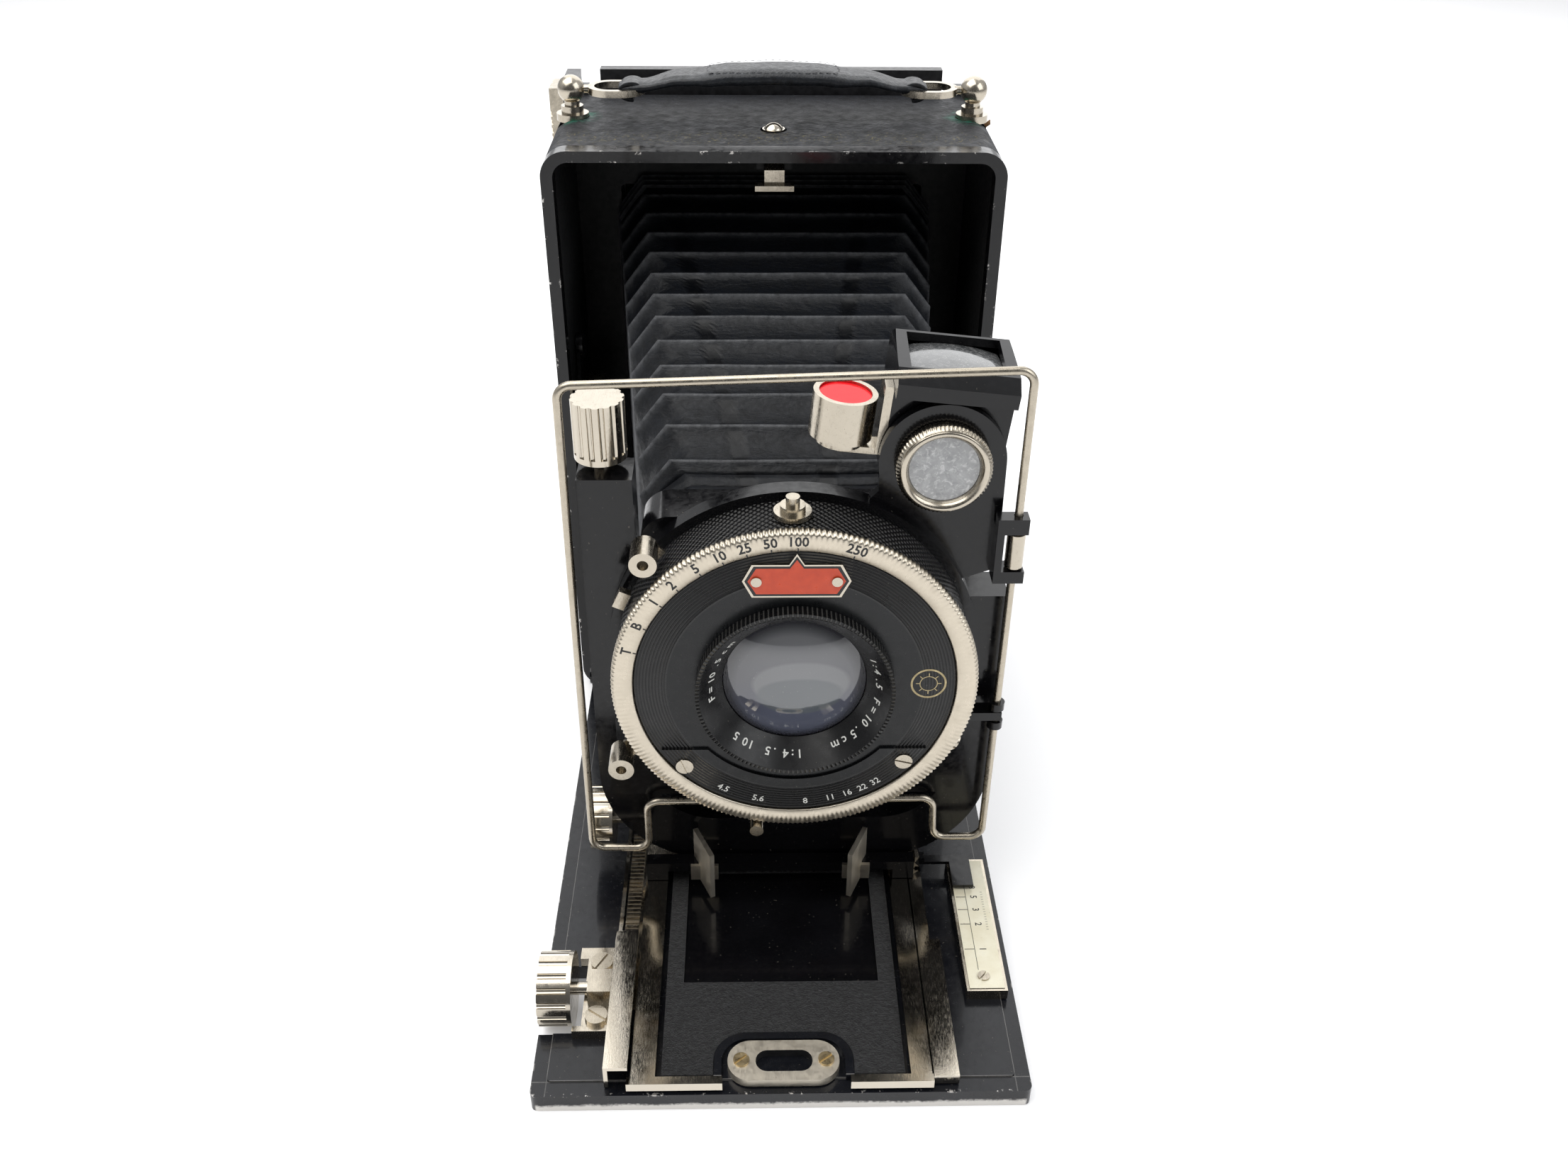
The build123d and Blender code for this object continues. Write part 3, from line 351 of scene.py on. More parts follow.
def m_cloudy(name, a_, b_, c_):
    t = NT(name)
    n1 = t.noise(300, 6, 0.7, dist=1.2); n2 = t.noise(1200, 5, 0.65, dist=0.8); sp = t.noise(3600, 2, 0.5)
    c = t.mix(t.ramp(n1, 0.35, 0.65), a_, b_)
    c = t.mix(t.ramp(n2, 0.50, 0.68, 0, 0.65), c, c_)
    c = t.mix(t.ramp(sp, 0.70, 0.75, 0, 0.6), c, (0.85, 0.85, 0.85))
    t.col(c); t.rough(t.ramp(n2, 0.35, 0.7, 0.08, 0.38)); t.coat(0.8, 0.04)
    t.bump(n2, 0.05, 0.0001)
    return t.m
GLASS = m_lens()
GLASSC = m_cloudy("finder_glass", (0.24, 0.245, 0.25), (0.42, 0.425, 0.43), (0.70, 0.70, 0.70))
GLASST = m_cloudy("finder_top", (0.045, 0.048, 0.05), (0.11, 0.113, 0.115), (0.22, 0.22, 0.22))
GGLASS = m_glass("ground_glass_mat", (0.8, 0.84, 0.82), 0.45, 0.2)
def m_vial():
    t = NT("vial_red")
    nz = t.noise(600, 4, 0.5); t.col(t.mix(nz, (0.78, 0.004, 0.010), (0.62, 0.002, 0.008))); t.rough(0.22); t.b.inputs["Specular IOR Level"].default_value = 0.22
    # painted glow: the vial gives off a little red light of its own, though it is no lamp
    t.b.inputs["Emission Color"].default_value = (0.8, 0.0, 0.01, 1)
    t.b.inputs["Emission Strength"].default_value = 0.10
    return t.m
VIAL = m_vial()
MIRR = m_nickel("mirror_mat", (0.85, 0.86, 0.86), 0.03, 0.12, 0.15)

# ------------------------------------------------------------------ CAD node materials
def setm(node, *mats):
    me = N[node].data
    me.materials.clear()
    for m in mats:
        me.materials.append(m)
    for p in me.polygons:
        p.material_index = 0
    return me
def pick(node, test, idx):
    """faces whose centre passes test get slot idx (CAD mesh untouched)"""
    me = N[node].data
    for p in me.polygons:
        c = p.center / MM
        if test(c.x, c.y, c.z, p.normal):
            p.material_index = idx

setm("front_rim", ENAMW); setm("body_shell", MATB, ENAM); setm("body_leather", LEAB); setm("tripod_bushes", NICKD)
setm("release_button", NICKB); setm("bed_catch", NICK); setm("handle_lugs", NICK); setm("handle_rings", NICK)
setm("bed_struts", ENAM); setm("back_rails", SATB); setm("focusing_back", SATB); setm("ground_glass", GGLASS)
setm("focusing_hood", LEAT); setm("hood_cover", LEAT); setm("back_lock", NICKD)
setm("bed_plate", ENAMB); setm("bed_leather", LEAB); setm("bed_hinge_pin", NICKD); setm("bed_insert", SUEDE, ENAM)
pick("bed_insert", lambda x, y, z, n: z < 4.8 and n.z > 0.5 and -17.5 < x < 18 and -93.5 < y < -65, 1)
setm("bed_guides", RAIL, NICKD); setm("knob_bracket", NICK); setm("bed_screws", NICKD, BRASS)
pick("bed_screws", lambda x, y, z, n: y < -108 , 1)
setm("catch_plate", NICKW, MATB)
pick("catch_plate", lambda x, y, z, n: -4.4 < x < 5.3 and -112.5 < y < -108.1 and z < 5.2, 1); setm("distance_scale", NICK, IVORY)
pick("distance_scale", lambda x, y, z, n: z > 6.11 or (z > 6.0 and 33.4 < x < 39.6 and n.z > 0.9 and z > 6.15), 1)
setm("focus_track", RAIL); setm("focus_knob", NICKB); setm("carriage_base", NICK, ENAM)
pick("carriage_base", lambda x, y, z, n: x > 26.9, 1); setm("carriage_bar", ENAM, NICKW)
pick("carriage_bar", lambda x, y, z, n: z > 10.6 or y < -69.3, 1)
setm("standard_frame", ENAM); setm("standard_foot", ENAM); setm("shift_knob", NICKB); setm("rise_knob", NICKB)
setm("lens_board", ENAM); setm("wire_bracket", ENAM); setm("shutter_housing", HOUSM); setm("shutter_face", DIALM)
setm("dial_fasteners", NICK); setm("index_plate", NICKB); setm("lens_barrel", BARRM); setm("lens_elements", GLASS)
setm("shutter_blades", SATB); setm("rear_cell", SATB); setm("housing_studs", NICK); setm("speed_ring", NICK)
for q in ("cocking_lever", "release_lever", "self_timer_lever"): setm(q, NICK)
setm("aperture_lever", NICKB); setm("iris_ring", SATB)
setm("finder_body", ENAM); setm("finder_ring", NICK); setm("finder_lens", GLASSC); setm("finder_mirror", MIRR)
setm("finder_top_glass", GLASST); setm("level_cup", NICK); setm("level_vial", VIAL)
setm("wire_frame", NICKD); setm("wire_fittings", NICK, ENAM)
pick("wire_fittings", lambda x, y, z, n: z < 60, 1)
setm("handle_strap", LEAT)

# ------------------------------------------------------------------ mesh helpers
COL = bpy.context.scene.collection
def mesh_obj(name, verts, faces, mats, smooth=True, idx=None):
    me = bpy.data.meshes.new(name)
    me.from_pydata([Vector(v)*MM for v in verts], [], faces)
    if not isinstance(mats, (list, tuple)): mats = [mats]
    for m in mats: me.materials.append(m)
    for i, p in enumerate(me.polygons):
        p.use_smooth = smooth
        if idx: p.material_index = idx[i]
    me.update()
    o = bpy.data.objects.new(name, me)
    COL.objects.link(o)
    return o
def fix(o, merge=None):
    bm = bmesh.new(); bm.from_mesh(o.data)
    if merge: bmesh.ops.remove_doubles(bm, verts=bm.verts, dist=merge*MM)
    bmesh.ops.recalc_face_normals(bm, faces=bm.faces)
    bm.to_mesh(o.data); bm.free(); o.data.update()
def bevel(o, w, seg=2, ang=0.6):
    m = o.modifiers.new("bevel", "BEVEL"); m.width = w*MM; m.segments = seg; m.limit_method = "ANGLE"; m.angle_limit = ang
    return o
def tris(o):
    """shade the piece smooth, where the mesh allows"""
    o.data.shade_smooth() if hasattr(o.data, "shade_smooth") else None
    return o
def tube(name, pts, r, mat, seg=14, closed=False, flat=None):
    cu = bpy.data.curves.new(name, "CURVE"); cu.dimensions = "3D"
    sp = cu.splines.new("POLY"); sp.points.add(len(pts)-1)
    for p, q in zip(sp.points, pts): p.co = (*(Vector(q)*MM), 1)
    sp.use_cyclic_u = closed
    cu.bevel_depth = r*MM; cu.bevel_resolution = 5; cu.use_fill_caps = True
    cu.materials.append(mat)
    o = bpy.data.objects.new(name, cu); COL.objects.link(o)
    return o

def text_mesh(name, s, size, mat, place, rot, depth=0.03, bold=0.0, align="CENTER"):
    """flat lettering, placed by a matrix (mm)"""
    cu = bpy.data.curves.new(name, "FONT"); cu.body = s; cu.size = size*MM
    cu.align_x = align; cu.align_y = "CENTER"; cu.extrude = depth*MM; cu.offset = bold*MM
    cu.resolution_u = 2
    o = bpy.data.objects.new(name, cu); COL.objects.link(o)
    cu.materials.append(mat)
    o.matrix_world = Matrix.Translation(Vector(place)*MM) @ rot.to_4x4()
    return o
def join(name, objs, mat=None):
    dg = bpy.context.evaluated_depsgraph_get(); dg.update()
    bm = bmesh.new(); mats = []
    for o in objs:
        me = bpy.data.meshes.new_from_object(o.evaluated_get(dg))
        me.transform(o.matrix_world)
        off = {}
        for i, m in enumerate(me.materials):
            if m not in mats: mats.append(m)
            off[i] = mats.index(m)
        for p in me.polygons: p.material_index = off.get(p.material_index, 0)
        bm.from_mesh(me)
        bpy.data.meshes.remove(me)
    for o in objs:
        bpy.data.objects.remove(o, do_unlink=True)
    me = bpy.data.meshes.new(name); bm.to_mesh(me); bm.free()
    for m in mats: me.materials.append(m)
    o = bpy.data.objects.new(name, me); COL.objects.link(o)
    return o
def facing(ang):
    """letters on a -Y face, turned cw by ang degrees from upright"""
    return Matrix.Rotation(math.radians(ang), 3, "Y") @ Matrix.Rotation(math.radians(90), 3, "X")
def at(dx_ang, r, cx=LX, cz=LZ, y=0):
    a = math.radians(dx_ang)
    return (cx + r*math.sin(a), y, cz + r*math.cos(a))

# ------------------------------------------------------------------ bellows: fine ridges, shallow hollow panels, folded corners
def m_bellows():
    t = NT("bellows_fold")
    at_ = t.n("ShaderNodeAttribute", attribute_name="ridge"); rd = at_.outputs["Fac"]
    at2 = t.n("ShaderNodeAttribute", attribute_name="strip"); st = at2.outputs["Fac"]
    v = t.voro(1150, "SMOOTH_F1"); nz = t.noise(620, 6, 0.6, dist=0.6); fi = t.noise(3800, 4, 0.6); big = t.noise(60, 4, 0.6)
    wr = t.noise(1.0, 5, 0.6, vec=t.scale((260, 900, 900)), dist=0.8)
    c = t.mix(t.ramp(nz, 0.35, 0.75), (0.0016, 0.0020, 0.0030), (0.0052, 0.0064, 0.0092))
    c = t.mix(t.ramp(big, 0.45, 0.8, 0, 0.5), c, (0.0075, 0.0092, 0.0128))
    c = t.mix(t.math("MULTIPLY", st, 0.8), c, (0.0012, 0.0014, 0.0020))
    wn = t.ramp(t.noise(520, 5, 0.7), 0.30, 0.62, 0.25, 1.0)
    c = t.mix(t.math("MULTIPLY", t.math("POWER", rd, 2.2), wn), c, (0.11, 0.113, 0.12))
    t.col(c)
    t.rough(t.math("SUBTRACT", t.ramp(nz, 0.3, 0.7, 0.56, 0.38), t.math("MULTIPLY", st, 0.12)))
    t.b.inputs["Specular IOR Level"].default_value = 0.22
    gr = t.math("SUBTRACT", 1.0, t.math("MULTIPLY", st, 0.8))
    h = t.math("MULTIPLY", t.math("ADD", t.math("ADD", t.math("MULTIPLY", wr, 1.1), t.math("MULTIPLY", v, 0.5)), t.math("MULTIPLY", fi, 0.2)), gr)
    t.bump(h, 0.5, 0.00028)
    return t.m
BELF = m_bellows()
RIDGES = [37.2, 35.4, 33.6, 29.9, 23.2, 16.4, 9.7, 3.0, -3.7, -10.4, -17.5, -24.6, -32.5, -40.6, -49.3]
def make_bellows():
    y0, y1 = 38.5, -57.3
    marks = [y0] + RIDGES + [y1]
    dense = [(y0, 6.0)]
    fr = (0.0, 0.035, 0.08, 0.15, 0.26, 0.40, 0.5, 0.60, 0.74, 0.85, 0.92, 0.965)
    for k in range(1, len(marks) - 1):
        a, b = marks[k], marks[k + 1]
        for f_ in fr:
            y = a + (b - a) * f_
            last = k + 1 == len(marks) - 1
            d = abs(y - a) if last else min(abs(y - a), abs(b - y))
            dense.append((y, d))
    dense.append((y1, 6.0))
    NX, NZ, NC = 54, 24, 7
    verts, rid, stp = [], [], []
    nring = 0
    for (y, d) in dense:
        t = (y0 - y) / (y0 - y1)
        g = math.exp(-d / 0.75)                       # 1 on a ridge
        deep = 1.0 - g
        sink = 1.25 * deep * (0.55 + 0.45 * t) + 0.25
        xl, xr = -33.6 + t * 10.2 + sink * 0.8, 34.6 - t * 8.0 - sink * 0.8
        zb, zt = 15.0 + t * 16.2 + sink, 109.4 - t * 25.0 - sink
        fold = min(1.0, d / 3.2)
        ca = 5.4 + 3.6 * fold * (1 - 0.35 * t); cb = 7.0 + 3.0 * fold
        pts = []
        c = [(xl + ca, zt), (xr - ca, zt), (xr, zt - cb), (xr, zb + cb), (xr - ca, zb), (xl + ca, zb), (xl, zb + cb), (xl, zt - cb)]
        cnt = [NX, NC, NZ, NC, NX, NC, NZ, NC]
        nn = [(0, 1), (0.7, 0.7), (1, 0), (0.7, -0.7), (0, -1), (-0.7, -0.7), (-1, 0), (-0.7, 0.7)]
        for q in range(8):
            a, b = c[q], c[(q + 1) % 8]
            for k in range(cnt[q]):
                s = k / cnt[q]
                # the corner folds outward between ridges: a diamond facet
                bul = (-0.25 * fold if q in (0, 2, 4, 6) else 1.9 * fold * (1 - abs(2 * s - 1))) * (1 if q % 2 == 0 else 1)
                w = math.sin(math.pi * s) if q % 2 == 0 else 1.0
                pts.append((a[0] + (b[0] - a[0]) * s + nn[q][0] * bul * w, a[1] + (b[1] - a[1]) * s + nn[q][1] * bul * w, q))
        nring = len(pts)
        x1 = -23.2 + 18.6 * t; x2 = 20.0 - 12.3 * t
        for (x, z, q) in pts:
            v = Vector((x * 0.10, y * 0.14, z * 0.10))
            w = (noise.noise(v) * 0.22 + noise.noise(v * 3.3) * 0.10) * (0.12 + 0.88 * deep)
            sv, dz = 0.0, 0.0
            if q == 0:
                for cx0 in (x1, x2):
                    dd = abs(x - cx0)
                    k_ = max(0.0, min(1.0, (1.75 - dd) / 0.35))
                    sv = max(sv, k_)
                dz = 0.0
            nx = 0.0 if q in (0, 4) else (1 if x > 0 else -1)
            nz_ = 1 if q == 0 else (-1 if q == 4 else 0)
            yy = y + 0.20 * noise.noise(Vector((x * 0.09, y * 0.3, 3.7))) * (1 if 0 < t < 1 else 0)
            verts.append((x + nx * w, yy, z + nz_ * (w - dz)))
            rid.append(g if 0 < t < 1 else 0.0)
            stp.append(sv * min(1.0, deep * 1.6))
    n = nring; L = len(dense) - 1
    tt = lambda i: (y0 - dense[i][0]) / (y0 - y1)
    def idx(frac): return min(range(L + 1), key=lambda i: abs(tt(i) - frac))
    cuts = [("bellows_rear", 0, 0.0580, "body", "track"), ("bellows_mid", 0.0580, 0.9375, "track", "carriage"),
            ("bellows_fore", 0.9375, 0.968, "carriage", "standard"), ("bellows_front", 0.968, 1.0, "standard", "lens_unit")]
    for name, s0, s1, a, b in cuts:
        i0, i1 = idx(s0), idx(s1)
        vv = verts[i0 * n:(i1 + 1) * n]
        ff = [(i * n + j, i * n + (j + 1) % n, (i + 1) * n + (j + 1) % n, (i + 1) * n + j) for i in range(i1 - i0) for j in range(n)]
        o = mesh_obj(name, vv, ff, BELF)
        for an, data in (("ridge", rid), ("strip", stp)):
            at_ = o.data.attributes.new(an, "FLOAT", "POINT")
            at_.data.foreach_set("value", data[i0 * n:(i1 + 1) * n])
        fix(o)
        m = o.modifiers.new("thick", "SOLIDIFY"); m.thickness = 0.35 * MM; m.offset = -1
        dg = bpy.context.evaluated_depsgraph_get(); dg.update()
        me = bpy.data.meshes.new_from_object(o.evaluated_get(dg)); o.modifiers.clear(); o.data = me
        if name == "bellows_mid":
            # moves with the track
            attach(o, "track")
            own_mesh(o)
        else:
            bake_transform(o)
    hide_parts("bellows")
make_bellows()

# ------------------------------------------------------------------ speed ring with a milled edge and its figures
def lathe_gear(name, prof, mat, n, teeth, amp, cx=LX, cz=LZ, rmin=29.4, idx=None):
    """turn a profile (r, y) about the lens axis; radii over rmin carry the milling"""
    verts, faces = [], []
    m = len(prof)
    for i in range(n):
        a = 2 * math.pi * i / n
        tth = 0.5 - 0.5 * math.cos(a * teeth)
        for (r, y) in prof:
            rr_ = r - (amp * (tth ** 0.8) if r > rmin else 0.0)
            verts.append((cx + rr_ * math.sin(a), y, cz + rr_ * math.cos(a)))
    for i in range(n):
        for j in range(m):
            a0 = i * m + j; a1 = i * m + (j + 1) % m
            b0 = ((i + 1) % n) * m + j; b1 = ((i + 1) % n) * m + (j + 1) % m
            faces.append((a0, a1, b1, b0))
    o = mesh_obj(name, verts, faces, mat); fix(o)
    return o
RINGM = m_nickel("nickel_ring", (0.55, 0.495, 0.405), 0.24, 0.42, 0.45)
RINGM.node_tree.nodes["Principled BSDF"].inputs["Anisotropic"].default_value = 0.35
sr = lathe_gear("speed_ring_milled", [(26.5, -78.15), (26.5, -79.8), (26.7, -80.0), (29.35, -80.0), (29.75, -79.9), (30.1, -79.55), (30.1, -78.5), (29.8, -78.15)], RINGM, 1320, 220, 0.30)
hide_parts("speed_ring")
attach(sr, "speed_ring")
fr_ = lathe_gear("finder_ring_milled", [(5.6, -65.0), (5.6, -70.3), (6.0, -70.9), (6.35, -71.2), (6.9, -71.2), (7.0, -71.0), (7.02, -70.5), (7.6, -70.3), (7.6, -68.5), (7.4, -68.1), (6.2, -68.1), (6.2, -65.0)], NICK, 432, 72, 0.20, FX, FZ, rmin=7.1)
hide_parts("finder_ring"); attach(fr_, "finder")
labels = []
for s, a in (("T", -73.9), ("B", -63.2), ("1", -52.2), ("2", -43.6), ("5", -33.7), ("10", -25), ("25", -16.6), ("50", -8.4), ("100", 0.3), ("250", 19)):
    o = text_mesh("t", s, 2.35, INK, at(a, 28.2, y=-80.01), facing(a), 0.012, 0.055)
    o.scale = (0.95, 1.0, 1.0)
    labels.append(o)
ringtxt = []
def tick(cx, cz, y, a, r0, r1, w, mat, lst):
    rad = math.radians(a); e = Vector((math.sin(rad), 0, math.cos(rad))); t_ = Vector((math.cos(rad), 0, -math.sin(rad)))
    c = Vector((cx, y, cz))
    v = [c + e * r0 - t_ * w / 2, c + e * r1 - t_ * w / 2, c + e * r1 + t_ * w / 2, c + e * r0 + t_ * w / 2]
    lst.append(([tuple(q) for q in v], mat))
tk = []
for a in (-73.9, -63.2, -52.2, -43.6, -33.7, -25, -16.6, -8.4, 0.3, 19):
    tick(LX, LZ, -80.02, a, 26.6, 27.15, 0.22, INK, tk)
def quads(name, lst, thick=0.012):
    vs, fs, ms, ix = [], [], [], []
    for q, m in lst:
        b = len(vs); vs += q; fs.append((b, b + 1, b + 2, b + 3))
        if m not in ms: ms.append(m)
        ix.append(ms.index(m))
    o = mesh_obj(name, vs, fs, ms, smooth=False, idx=ix)
    return o
q = quads("ring_ticks", tk)
rt = join("speed_figures", labels + [q]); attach(rt, "speed_ring")

# aperture figures on the dial plate
lab = []
for s, a in (("4.5", -150.3), ("5.6", -165.5), ("8", 175.1), ("11", 164.8), ("16", 157.6), ("22", 150.9), ("32", 144.9)):
    lab.append(text_mesh("t", s, 1.75, INKW, at(a, 24.3, y=-80.11), facing(a + 180), 0.01, 0.012))
ap = join("aperture_figures", lab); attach(ap, "lens_unit")

# distance figures, reading along the scale
lab, tk2 = [], []
RZ = Matrix.Rotation(math.radians(-90), 3, "Z")
for s_, yy in (("\u221e", -69.6), ("8", -71.9), ("5", -74.4), ("3", -77.6), ("2", -81.2), ("1", -87.2)):
    lab.append(text_mesh("t", s_, 1.75, INK, (36.9, yy, 6.262), RZ, 0.006, 0.012))
    x0, x1 = 33.6, 35.4
    tk2.append(([(x0, yy - 0.075, 6.262), (x1, yy - 0.075, 6.262), (x1, yy + 0.075, 6.262), (x0, yy + 0.075, 6.262)], INK))
tk2.append(([(35.42, -92.0, 6.262), (35.52, -92.0, 6.262), (35.52, -66.0, 6.262), (35.42, -66.0, 6.262)], INK))
for k in range(16):
    yy = -73.2 - k * 0.62
    tk2.append(([(38.3, yy - 0.04, 6.262), (38.7, yy - 0.04, 6.262), (38.7, yy + 0.04, 6.262), (38.3, yy + 0.04, 6.262)], INK))
dsf = join("scale_figures", lab + [quads("q", tk2)]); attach(dsf, "body")

# plain ring mark on the dial
def annulus(name, c, r0, r1, mat, y, n=64):
    v, f = [], []
    for i in range(n):
        a = 2 * math.pi * i / n
        for r in (r0, r1): v.append((c[0] + r * math.sin(a), y, c[1] + r * math.cos(a)))
    for i in range(n):
        j = (i + 1) % n
        f.append((2 * i, 2 * i + 1, 2 * j + 1, 2 * j))
    return mesh_obj(name, v, f, mat, smooth=False)
mx, _, mz = at(88, 21.9)
an = [annulus("a", (mx, mz), 2.62, 2.95, INKG, -79.63), annulus("a", (mx, mz), 1.35, 1.5, INKG, -79.63)]
tk = []
for a in range(0, 360, 45): tick(mx, mz, -79.63, a, 1.5, 2.1, 0.16, INKG, tk)
an.append(quads("q", tk))
mk = join("dial_mark", an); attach(mk, "lens_unit")

# lens ring engraving, on the cone round the front glass
lab = []
def cone_letter(ch, a, r=13.75, size=2.05):
    rad = math.radians(a)
    e = Vector((math.sin(rad), 0, math.cos(rad))); tt = Vector((math.cos(rad), 0, -math.sin(rad)))
    up = (e * 3.7 + Vector((0, -1, 0)) * 4.4).normalized()
    nn = tt.cross(up)
    y = -82 + (15.6 - r) / 3.7 * 4.4
    pos = Vector((LX, y, LZ)) + e * r + nn * 0.045
    rot = Matrix((tt, up, nn)).transposed()
    return text_mesh("t", ch, size, INKW, tuple(pos), rot, 0.01, 0.03)
def cone_text(s, a0, step):
    a = a0
    for ch in s:
        if ch != " ": lab.append(cone_letter(ch, a))
        a += step * (0.62 if ch in ".:1 " else 1.0)
cone_text("1:4.5 F=10.5cm", 66, 7.8)
cone_text("1:4.5 105", 176, 8.0)
cone_text("F=10.5cm", 262, 7.8)
ct = join("lens_engraving", lab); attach(ct, "lens_unit")


def badge():
    pts = [(-8.5, 21.2), (-7, 18.2), (7, 18.2), (8.5, 21.2), (7, 24.2), (1.2, 24.2), (0, 26.2), (-1.2, 24.2), (-7, 24.2)]
    out = []
    for k, y, m in ((0.93, -80.125, INK), (0.84, -80.14, RED)):
        v = []
        for (dx, dz) in pts:
            cz_ = 21.2
            v.append((LX + dx * (1 - (1 - k) * 0.62), y, LZ + cz_ + (dz - cz_) * (1 - (1 - k) * 1.35)))
        out.append(mesh_obj("b", v, [tuple(range(len(v)))], m, smooth=False))
    return out
bd = join("index_enamel", badge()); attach(bd, "lens_unit")

# ------------------------------------------------------------------ handle strap: padded, stitched in the middle, looped round the rings
def lerp(xs, ys, x):
    if x <= xs[0]: return ys[0]
    for i in range(len(xs) - 1):
        if x <= xs[i + 1]:
            s = (x - xs[i]) / (xs[i + 1] - xs[i]); s = s * s * (3 - 2 * s)
            return ys[i] + (ys[i + 1] - ys[i]) * s
    return ys[-1]
def strap():
    verts, faces = [], []
    NS, NCs = 90, 28
    top = ([0, 8, 18, 26, 30.5], [134.2, 134.0, 133.0, 131.4, 130.9])
    def sec(x):
        ax = abs(x)
        zt = lerp(top[0], top[1], ax)
        th = lerp([0, 12, 16, 24, 30.5], [3.0, 2.9, 2.2, 1.8, 1.9], ax)
        w = lerp([0, 12, 20, 26, 29.0, 30.5], [11.2, 11.0, 9.4, 7.4, 5.9, 5.6], ax)
        return zt, th, w
    for i in range(NS + 1):
        x = -30.4 + 60.8 * i / NS
        zt, th, w = sec(x)
        for j in range(NCs):
            a = 2 * math.pi * j / NCs
            c, s = math.cos(a), math.sin(a)
            e = 0.55
            yy = 24.5 + (w / 2) * math.copysign(abs(c) ** e, c)
            zz = zt - th / 2 + (th / 2) * math.copysign(abs(s) ** 0.75, s)
            if s > 0 and abs(x) < 14:
                zz += 0.18 * (1 - (x / 14) ** 2) * s      # padded middle
            v = Vector((x * 0.12, yy * 0.2, zz * 0.2))
            zz += 0.10 * noise.noise(v * 2) + 0.05 * noise.noise(v * 7)
            # a groove a little inside each edge
            d = abs(abs(yy - 24.5) - (w / 2 - 1.1))
            if s > 0 and d < 0.5: zz -= 0.14 * (1 - d / 0.5)
            verts.append((x, yy, zz))
    for i in range(NS):
        for j in range(NCs):
            p = i * NCs + j; q = i * NCs + (j + 1) % NCs
            faces.append((p, q, q + NCs, p + NCs))
    faces.append(tuple(range(NCs))); faces.append(tuple(NS * NCs + j for j in reversed(range(NCs))))
    o = mesh_obj("strap_core", verts, faces, LEAT); fix(o)
    return o
def stitches():
    v, f = [], []
    def dash(x, y, z, ln, dx, dy):
        b = len(v)
        w, h = 0.16, 0.13
        nx, ny = -dy, dx
        for k in range(5):
            s = k / 4.0; hh = h * math.sin(math.pi * s)
            for q in (-1, 0, 1):
                v.append((x + dx * (s - 0.5) * ln + nx * w * q, y + dy * (s - 0.5) * ln + ny * w * q, z + hh * (1.0 if q == 0 else 0.35)))
        for k in range(4):
            for q in range(2):
                a = b + k * 3 + q
                f.append((a, a + 1, a + 4, a + 3))
    for sgn in (-1, 1):
        for k in range(-9, 10):
            x = k * 1.35
            z = lerp([0, 8, 18, 26, 30.5], [134.2, 134.0, 133.0, 131.4, 130.9], abs(x)) + 0.06
            dash(x, 24.5 + sgn * (4.35 - 0.02 * abs(k) ** 2 * 0.5), z, 0.95, 1, 0)
    for sgn in (-1, 1):
        for k in range(-2, 3):
            x = sgn * (13.0 - 0.12 * k * k)
            z = lerp([0, 8, 18, 26, 30.5], [134.2, 134.0, 133.0, 131.4, 130.9], abs(x)) + 0.05
            dash(x, 24.5 + k * 1.35, z, 0.95, 0, 1)
    return mesh_obj("strap_thread", v, f, m_plain("thread", (0.045, 0.045, 0.05), (0.10, 0.10, 0.105), (0.6, 0.8), scale=3000))
def strap_loops():
    out = []
    for sx in (-1, 1):
        # the strap end folds round the inner bar of the oval ring
        v, f = [], []
        cx_ = sx * 27.9; cz_ = 129.75
        n = 26
        prof = []
        for k in range(n + 1):
            a = math.radians(-100 + 290 * k / n)
            prof.append((cx_ + sx * -1.0 * 0 + 2.25 * math.cos(a) * -sx * -1, cz_ + 1.55 * math.sin(a)))
        for (x, z) in prof:
            for y in (21.7, 22.0, 24.5, 27.0, 27.3):
                zz = z
                v.append((x, y, zz))
        for k in range(n):
            for j in range(4):
                a = k * 5 + j
                f.append((a, a + 1, a + 6, a + 5))
        o = mesh_obj("loop%d" % (sx + 1), v, f, LEAT); fix(o)
        m = o.modifiers.new("s", "SOLIDIFY"); m.thickness = 0.75 * MM; m.offset = 0
        m2 = o.modifiers.new("b", "BEVEL"); m2.width = 0.2 * MM; m2.segments = 2; m2.limit_method = "ANGLE"
        out.append(o)
    return out
# torn leather curling off the right rear side
def flakes():
    rnd = random.Random(7); v, f = [], []
    for k in range(15):
        y = 24 + 15.5 * rnd.random(); z = 98 + 22 * rnd.random()
        L = 1.6 + 2.4 * rnd.random(); W = 1.0 + 1.8 * rnd.random(); rot = rnd.random() * 2 * math.pi
        curl = 0.5 + 0.9 * rnd.random(); b = len(v); n_ = 6
        for i in range(n_ + 1):
            s_ = i / n_
            lift = curl * s_ ** 2
            for j in range(4):
                q_ = (j / 3.0 - 0.5) * W * (1 - 0.35 * s_) + 0.18 * noise.noise(Vector((i * 0.9, j * 1.3, k * 2.1)))
                du = L * (s_ - 0.3) + 0.25 * noise.noise(Vector((i * 0.7 + 5, j * 1.1, k)))
                v.append((44.03 + lift + 0.08 * noise.noise(Vector((i, j, k * 3.0))), y + math.cos(rot) * du - math.sin(rot) * q_, z + math.sin(rot) * du + math.cos(rot) * q_))
        for i in range(n_):
            for j in range(3):
                a = b + i * 4 + j; f.append((a, a + 1, a + 5, a + 4))
    o = mesh_obj("torn_leather", v, f, LEAR); fix(o)
    m = o.modifiers.new("s", "SOLIDIFY"); m.thickness = 0.18 * MM; m.offset = 0
    return join("torn_leather", [o])
tl = flakes(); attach(tl, "body")
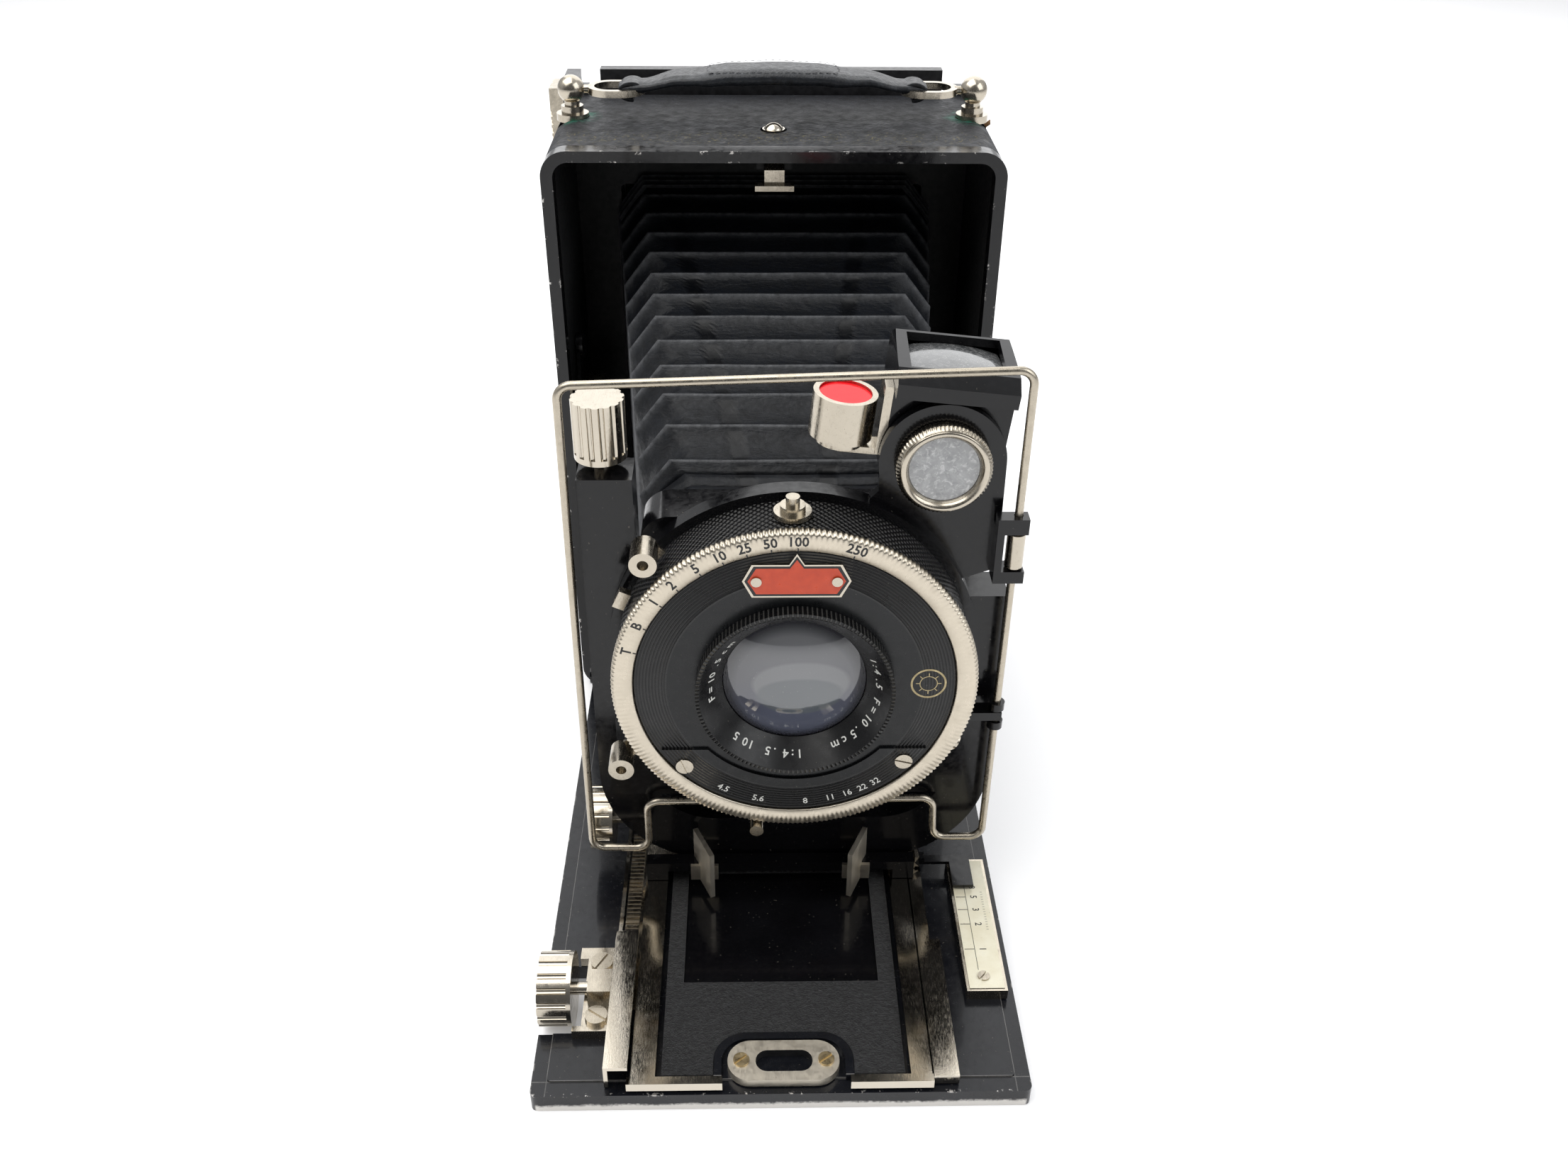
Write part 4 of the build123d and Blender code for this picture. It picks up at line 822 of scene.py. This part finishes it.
hs = join("strap_handle", [strap(), stitches()] + strap_loops())
for p in hs.data.polygons: p.use_smooth = True
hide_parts("handle_strap"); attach(hs, "handle")


# ------------------------------------------------------------------ floor, backdrop, light
def area(name, loc, to, size, power, col=(1, 1, 1), sy=None):
    d = bpy.data.lights.new(name, "AREA"); d.energy = power; d.size = size; d.color = col
    if sy: d.shape = "RECTANGLE"; d.size_y = sy
    o = bpy.data.objects.new(name, d); COL.objects.link(o)
    o.location = loc
    o.rotation_euler = (Vector(to) - Vector(loc)).to_track_quat("-Z", "Y").to_euler()
    return o
fl = mesh_obj("floor", [(-3000, -3000, -0.05), (3000, -3000, -0.05), (3000, 3000, -0.05), (-3000, 3000, -0.05)], [(0, 1, 2, 3)], m_plain("paper", (0.86, 0.86, 0.865), (0.83, 0.83, 0.84), (0.75, 0.9), scale=12, bump=0.0))
fb_ = fl.data.materials[0].node_tree.nodes["Principled BSDF"]
fb_.inputs["Emission Color"].default_value = (1, 1, 1, 1); fb_.inputs["Emission Strength"].default_value = 0.20
area("key", (-0.30, -0.10, 0.85), (0, -0.03, 0.05), 0.85, 6.6, (1.0, 0.985, 0.96))
area("fill", (0.60, -0.35, 0.55), (0, -0.03, 0.05), 0.6, 2.4, (0.97, 0.985, 1.0))
area("back", (0.05, 0.60, 0.55), (0, 0, 0.06), 0.9, 3.4)
w = bpy.data.worlds.new("World"); bpy.context.scene.world = w; w.use_nodes = True
wt = w.node_tree; bg = wt.nodes["Background"]
tcw = wt.nodes.new("ShaderNodeTexCoord"); sx = wt.nodes.new("ShaderNodeSeparateXYZ"); wt.links.new(tcw.outputs["Generated"], sx.inputs[0])
def wmap(sock, a, b, c, d):
    q = wt.nodes.new("ShaderNodeMapRange"); q.interpolation_type = "SMOOTHSTEP"
    wt.links.new(sock, q.inputs["Value"])
    for k, v in (("From Min", a), ("From Max", b), ("To Min", c), ("To Max", d)): q.inputs[k].default_value = v
    return q.outputs["Result"]
# a room: bright walls and ceiling, darker on the viewer's side
my = wmap(sx.outputs["Y"], -0.95, 0.1, 0.22, 1.0)
mz = wmap(sx.outputs["Z"], -0.1, 0.55, 0.62, 1.0)
mm_ = wt.nodes.new("ShaderNodeMath"); mm_.operation = "MULTIPLY"; wt.links.new(my, mm_.inputs[0]); wt.links.new(mz, mm_.inputs[1])
m2 = wt.nodes.new("ShaderNodeMath"); m2.operation = "MULTIPLY"; wt.links.new(mm_.outputs[0], m2.inputs[0]); m2.inputs[1].default_value = 0.72
wt.links.new(m2.outputs[0], bg.inputs[1])
bg.inputs[0].default_value = (0.95, 0.96, 0.98, 1)
bpy.context.scene.view_settings.view_transform = "Standard"
